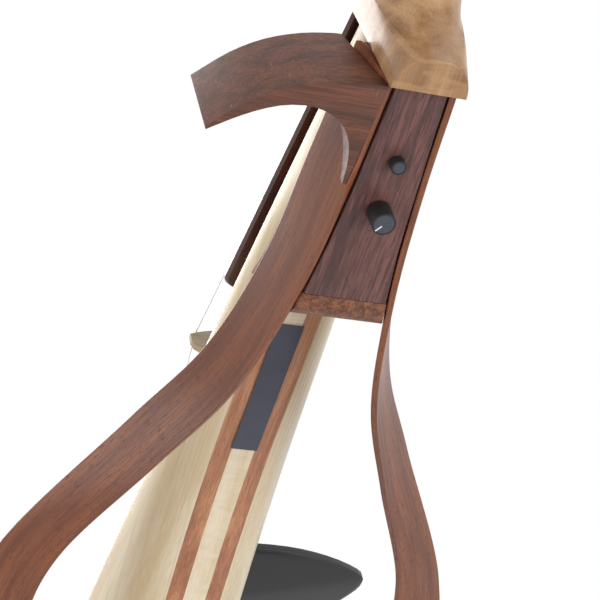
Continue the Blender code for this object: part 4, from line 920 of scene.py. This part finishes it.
# %% Materials on the frame's own nodes
FINISHES = {"steel": STEEL, "ebony": EBONY, "black_plastic": BLACK_PLASTIC, "walnut": PLATE_WALNUT,
            "maple": NECK_MAPLE, "spruce": SPRUCE, "mahogany": MAHOGANY, "bridge_maple": BRIDGE_MAPLE,
            "rosewood": ROSEWOOD, "label_grey": LABEL_GREY}
for part in RECORD["subparts"]:
    node = frame["nodes"][part["node"]]
    if not node.hide_render:
        node.data.materials.clear()
        node.data.materials.append(FINISHES[part["material_slot"]])

# %% [markdown]
# ## Floor, light and camera
# The picture is a product shot on white, taken from behind and below the instrument. A floor would stand
# between the camera and the violin, so it is seen only from above, and it neither blocks nor bounces
# light. The world is white to the camera and in reflections, and soft grey as a light. The camera stands
# where a fit of the photograph's perspective puts it.

# %% Stage
FLOOR_REACH, FLOOR_GAP = 3.0, 0.5 * MM
AMBIENT = 0.5
LAMPS = {"from the camera's right": ((-0.9, 0.9, -1.3), 1.0, 16),
         "from the camera's left": ((1.5, 0.2, -0.6), 1.0, 8),
         "from above": ((0.5, -0.6, 1.6), 1.2, 20)}


def stage_floor():
    bm = bmesh.new()
    bmesh.ops.create_grid(bm, x_segments=1, y_segments=1, size=FLOOR_REACH)
    mesh = bpy.data.meshes.new("floor")
    bm.to_mesh(mesh)
    bm.free()
    floor = bpy.data.objects.new("floor", mesh)
    bpy.context.scene.collection.objects.link(floor)
    floor.location = (0, 0, CAD_LOW.z - FLOOR_GAP)
    material, recipe, shader = shell("pale_floor")
    shader.inputs["Base Color"].default_value = paint("f4f4f3")
    shader.inputs["Roughness"].default_value = 0.8
    under = recipe.node("ShaderNodeNewGeometry", out="Backfacing")
    clear = recipe.node("ShaderNodeBsdfTransparent")
    choice = recipe.node("ShaderNodeMixShader", {}, {0: under, 1: Value(recipe, shader.outputs[0]), 2: clear})
    recipe.feed(material.node_tree.nodes["Material Output"].inputs["Surface"], choice)
    mesh.materials.append(material)
    floor.visible_diffuse = False
    floor.visible_glossy = False
    floor.visible_transmission = False
    floor.visible_shadow = False


def stage_world(ambient):
    world = bpy.data.worlds.new("white_room")
    bpy.context.scene.world = world
    world.use_nodes = True
    recipe = Recipe(world.node_tree)
    rays = world.node_tree.nodes.new("ShaderNodeLightPath")
    seen = (Value(recipe, rays.outputs["Is Camera Ray"]) + Value(recipe, rays.outputs["Is Glossy Ray"])
            + Value(recipe, rays.outputs["Is Transmission Ray"]))
    seen = recipe.node("ShaderNodeMath", {"operation": "MINIMUM"}, {0: seen, 1: 1.0})
    background = world.node_tree.nodes["Background"]
    background.inputs["Color"].default_value = (1, 1, 1, 1)
    recipe.feed(background.inputs["Strength"], seen * (1 - ambient) + ambient)


def lamp(name, place, aim, size, power):
    light = bpy.data.lights.new(name, "AREA")
    light.shape = "SQUARE"
    light.size = size
    light.energy = power
    thing = bpy.data.objects.new(name, light)
    bpy.context.scene.collection.objects.link(thing)
    thing.location = place
    thing.rotation_euler = (Vector(aim) - Vector(place)).to_track_quat("-Z", "Y").to_euler()


stage_floor()
stage_world(AMBIENT)
CENTRE = (CAD_LOW + CAD_HIGH) / 2
for name, (place, size, power) in LAMPS.items():
    lamp(name, place, CENTRE, size, power)

# %% Camera
CAMERA_FROM_HEEL = Vector((290.25, 365.83, -634.26)) * MM
CAMERA_RIGHT = Vector((-0.93671, 0.29589, -0.18715))
CAMERA_UP = Vector((0.12205, 0.77699, 0.61757))
PICTURE_SIDE, FOCAL_PIXELS, SENSOR = 600, 2241.8, 36.0

camera = bpy.data.cameras.new("camera")
camera.sensor_width = SENSOR
camera.lens = FOCAL_PIXELS * SENSOR / PICTURE_SIDE
camera.clip_start, camera.clip_end = 0.01, 20
viewer = bpy.data.objects.new("camera", camera)
bpy.context.scene.collection.objects.link(viewer)
axes = Matrix((CAMERA_RIGHT, CAMERA_UP, CAMERA_RIGHT.cross(CAMERA_UP))).transposed().to_4x4()
viewer.matrix_world = Matrix.Translation(HEEL + CAMERA_FROM_HEEL) @ axes
bpy.context.scene.camera = viewer
bpy.context.scene.view_settings.view_transform = "Standard"
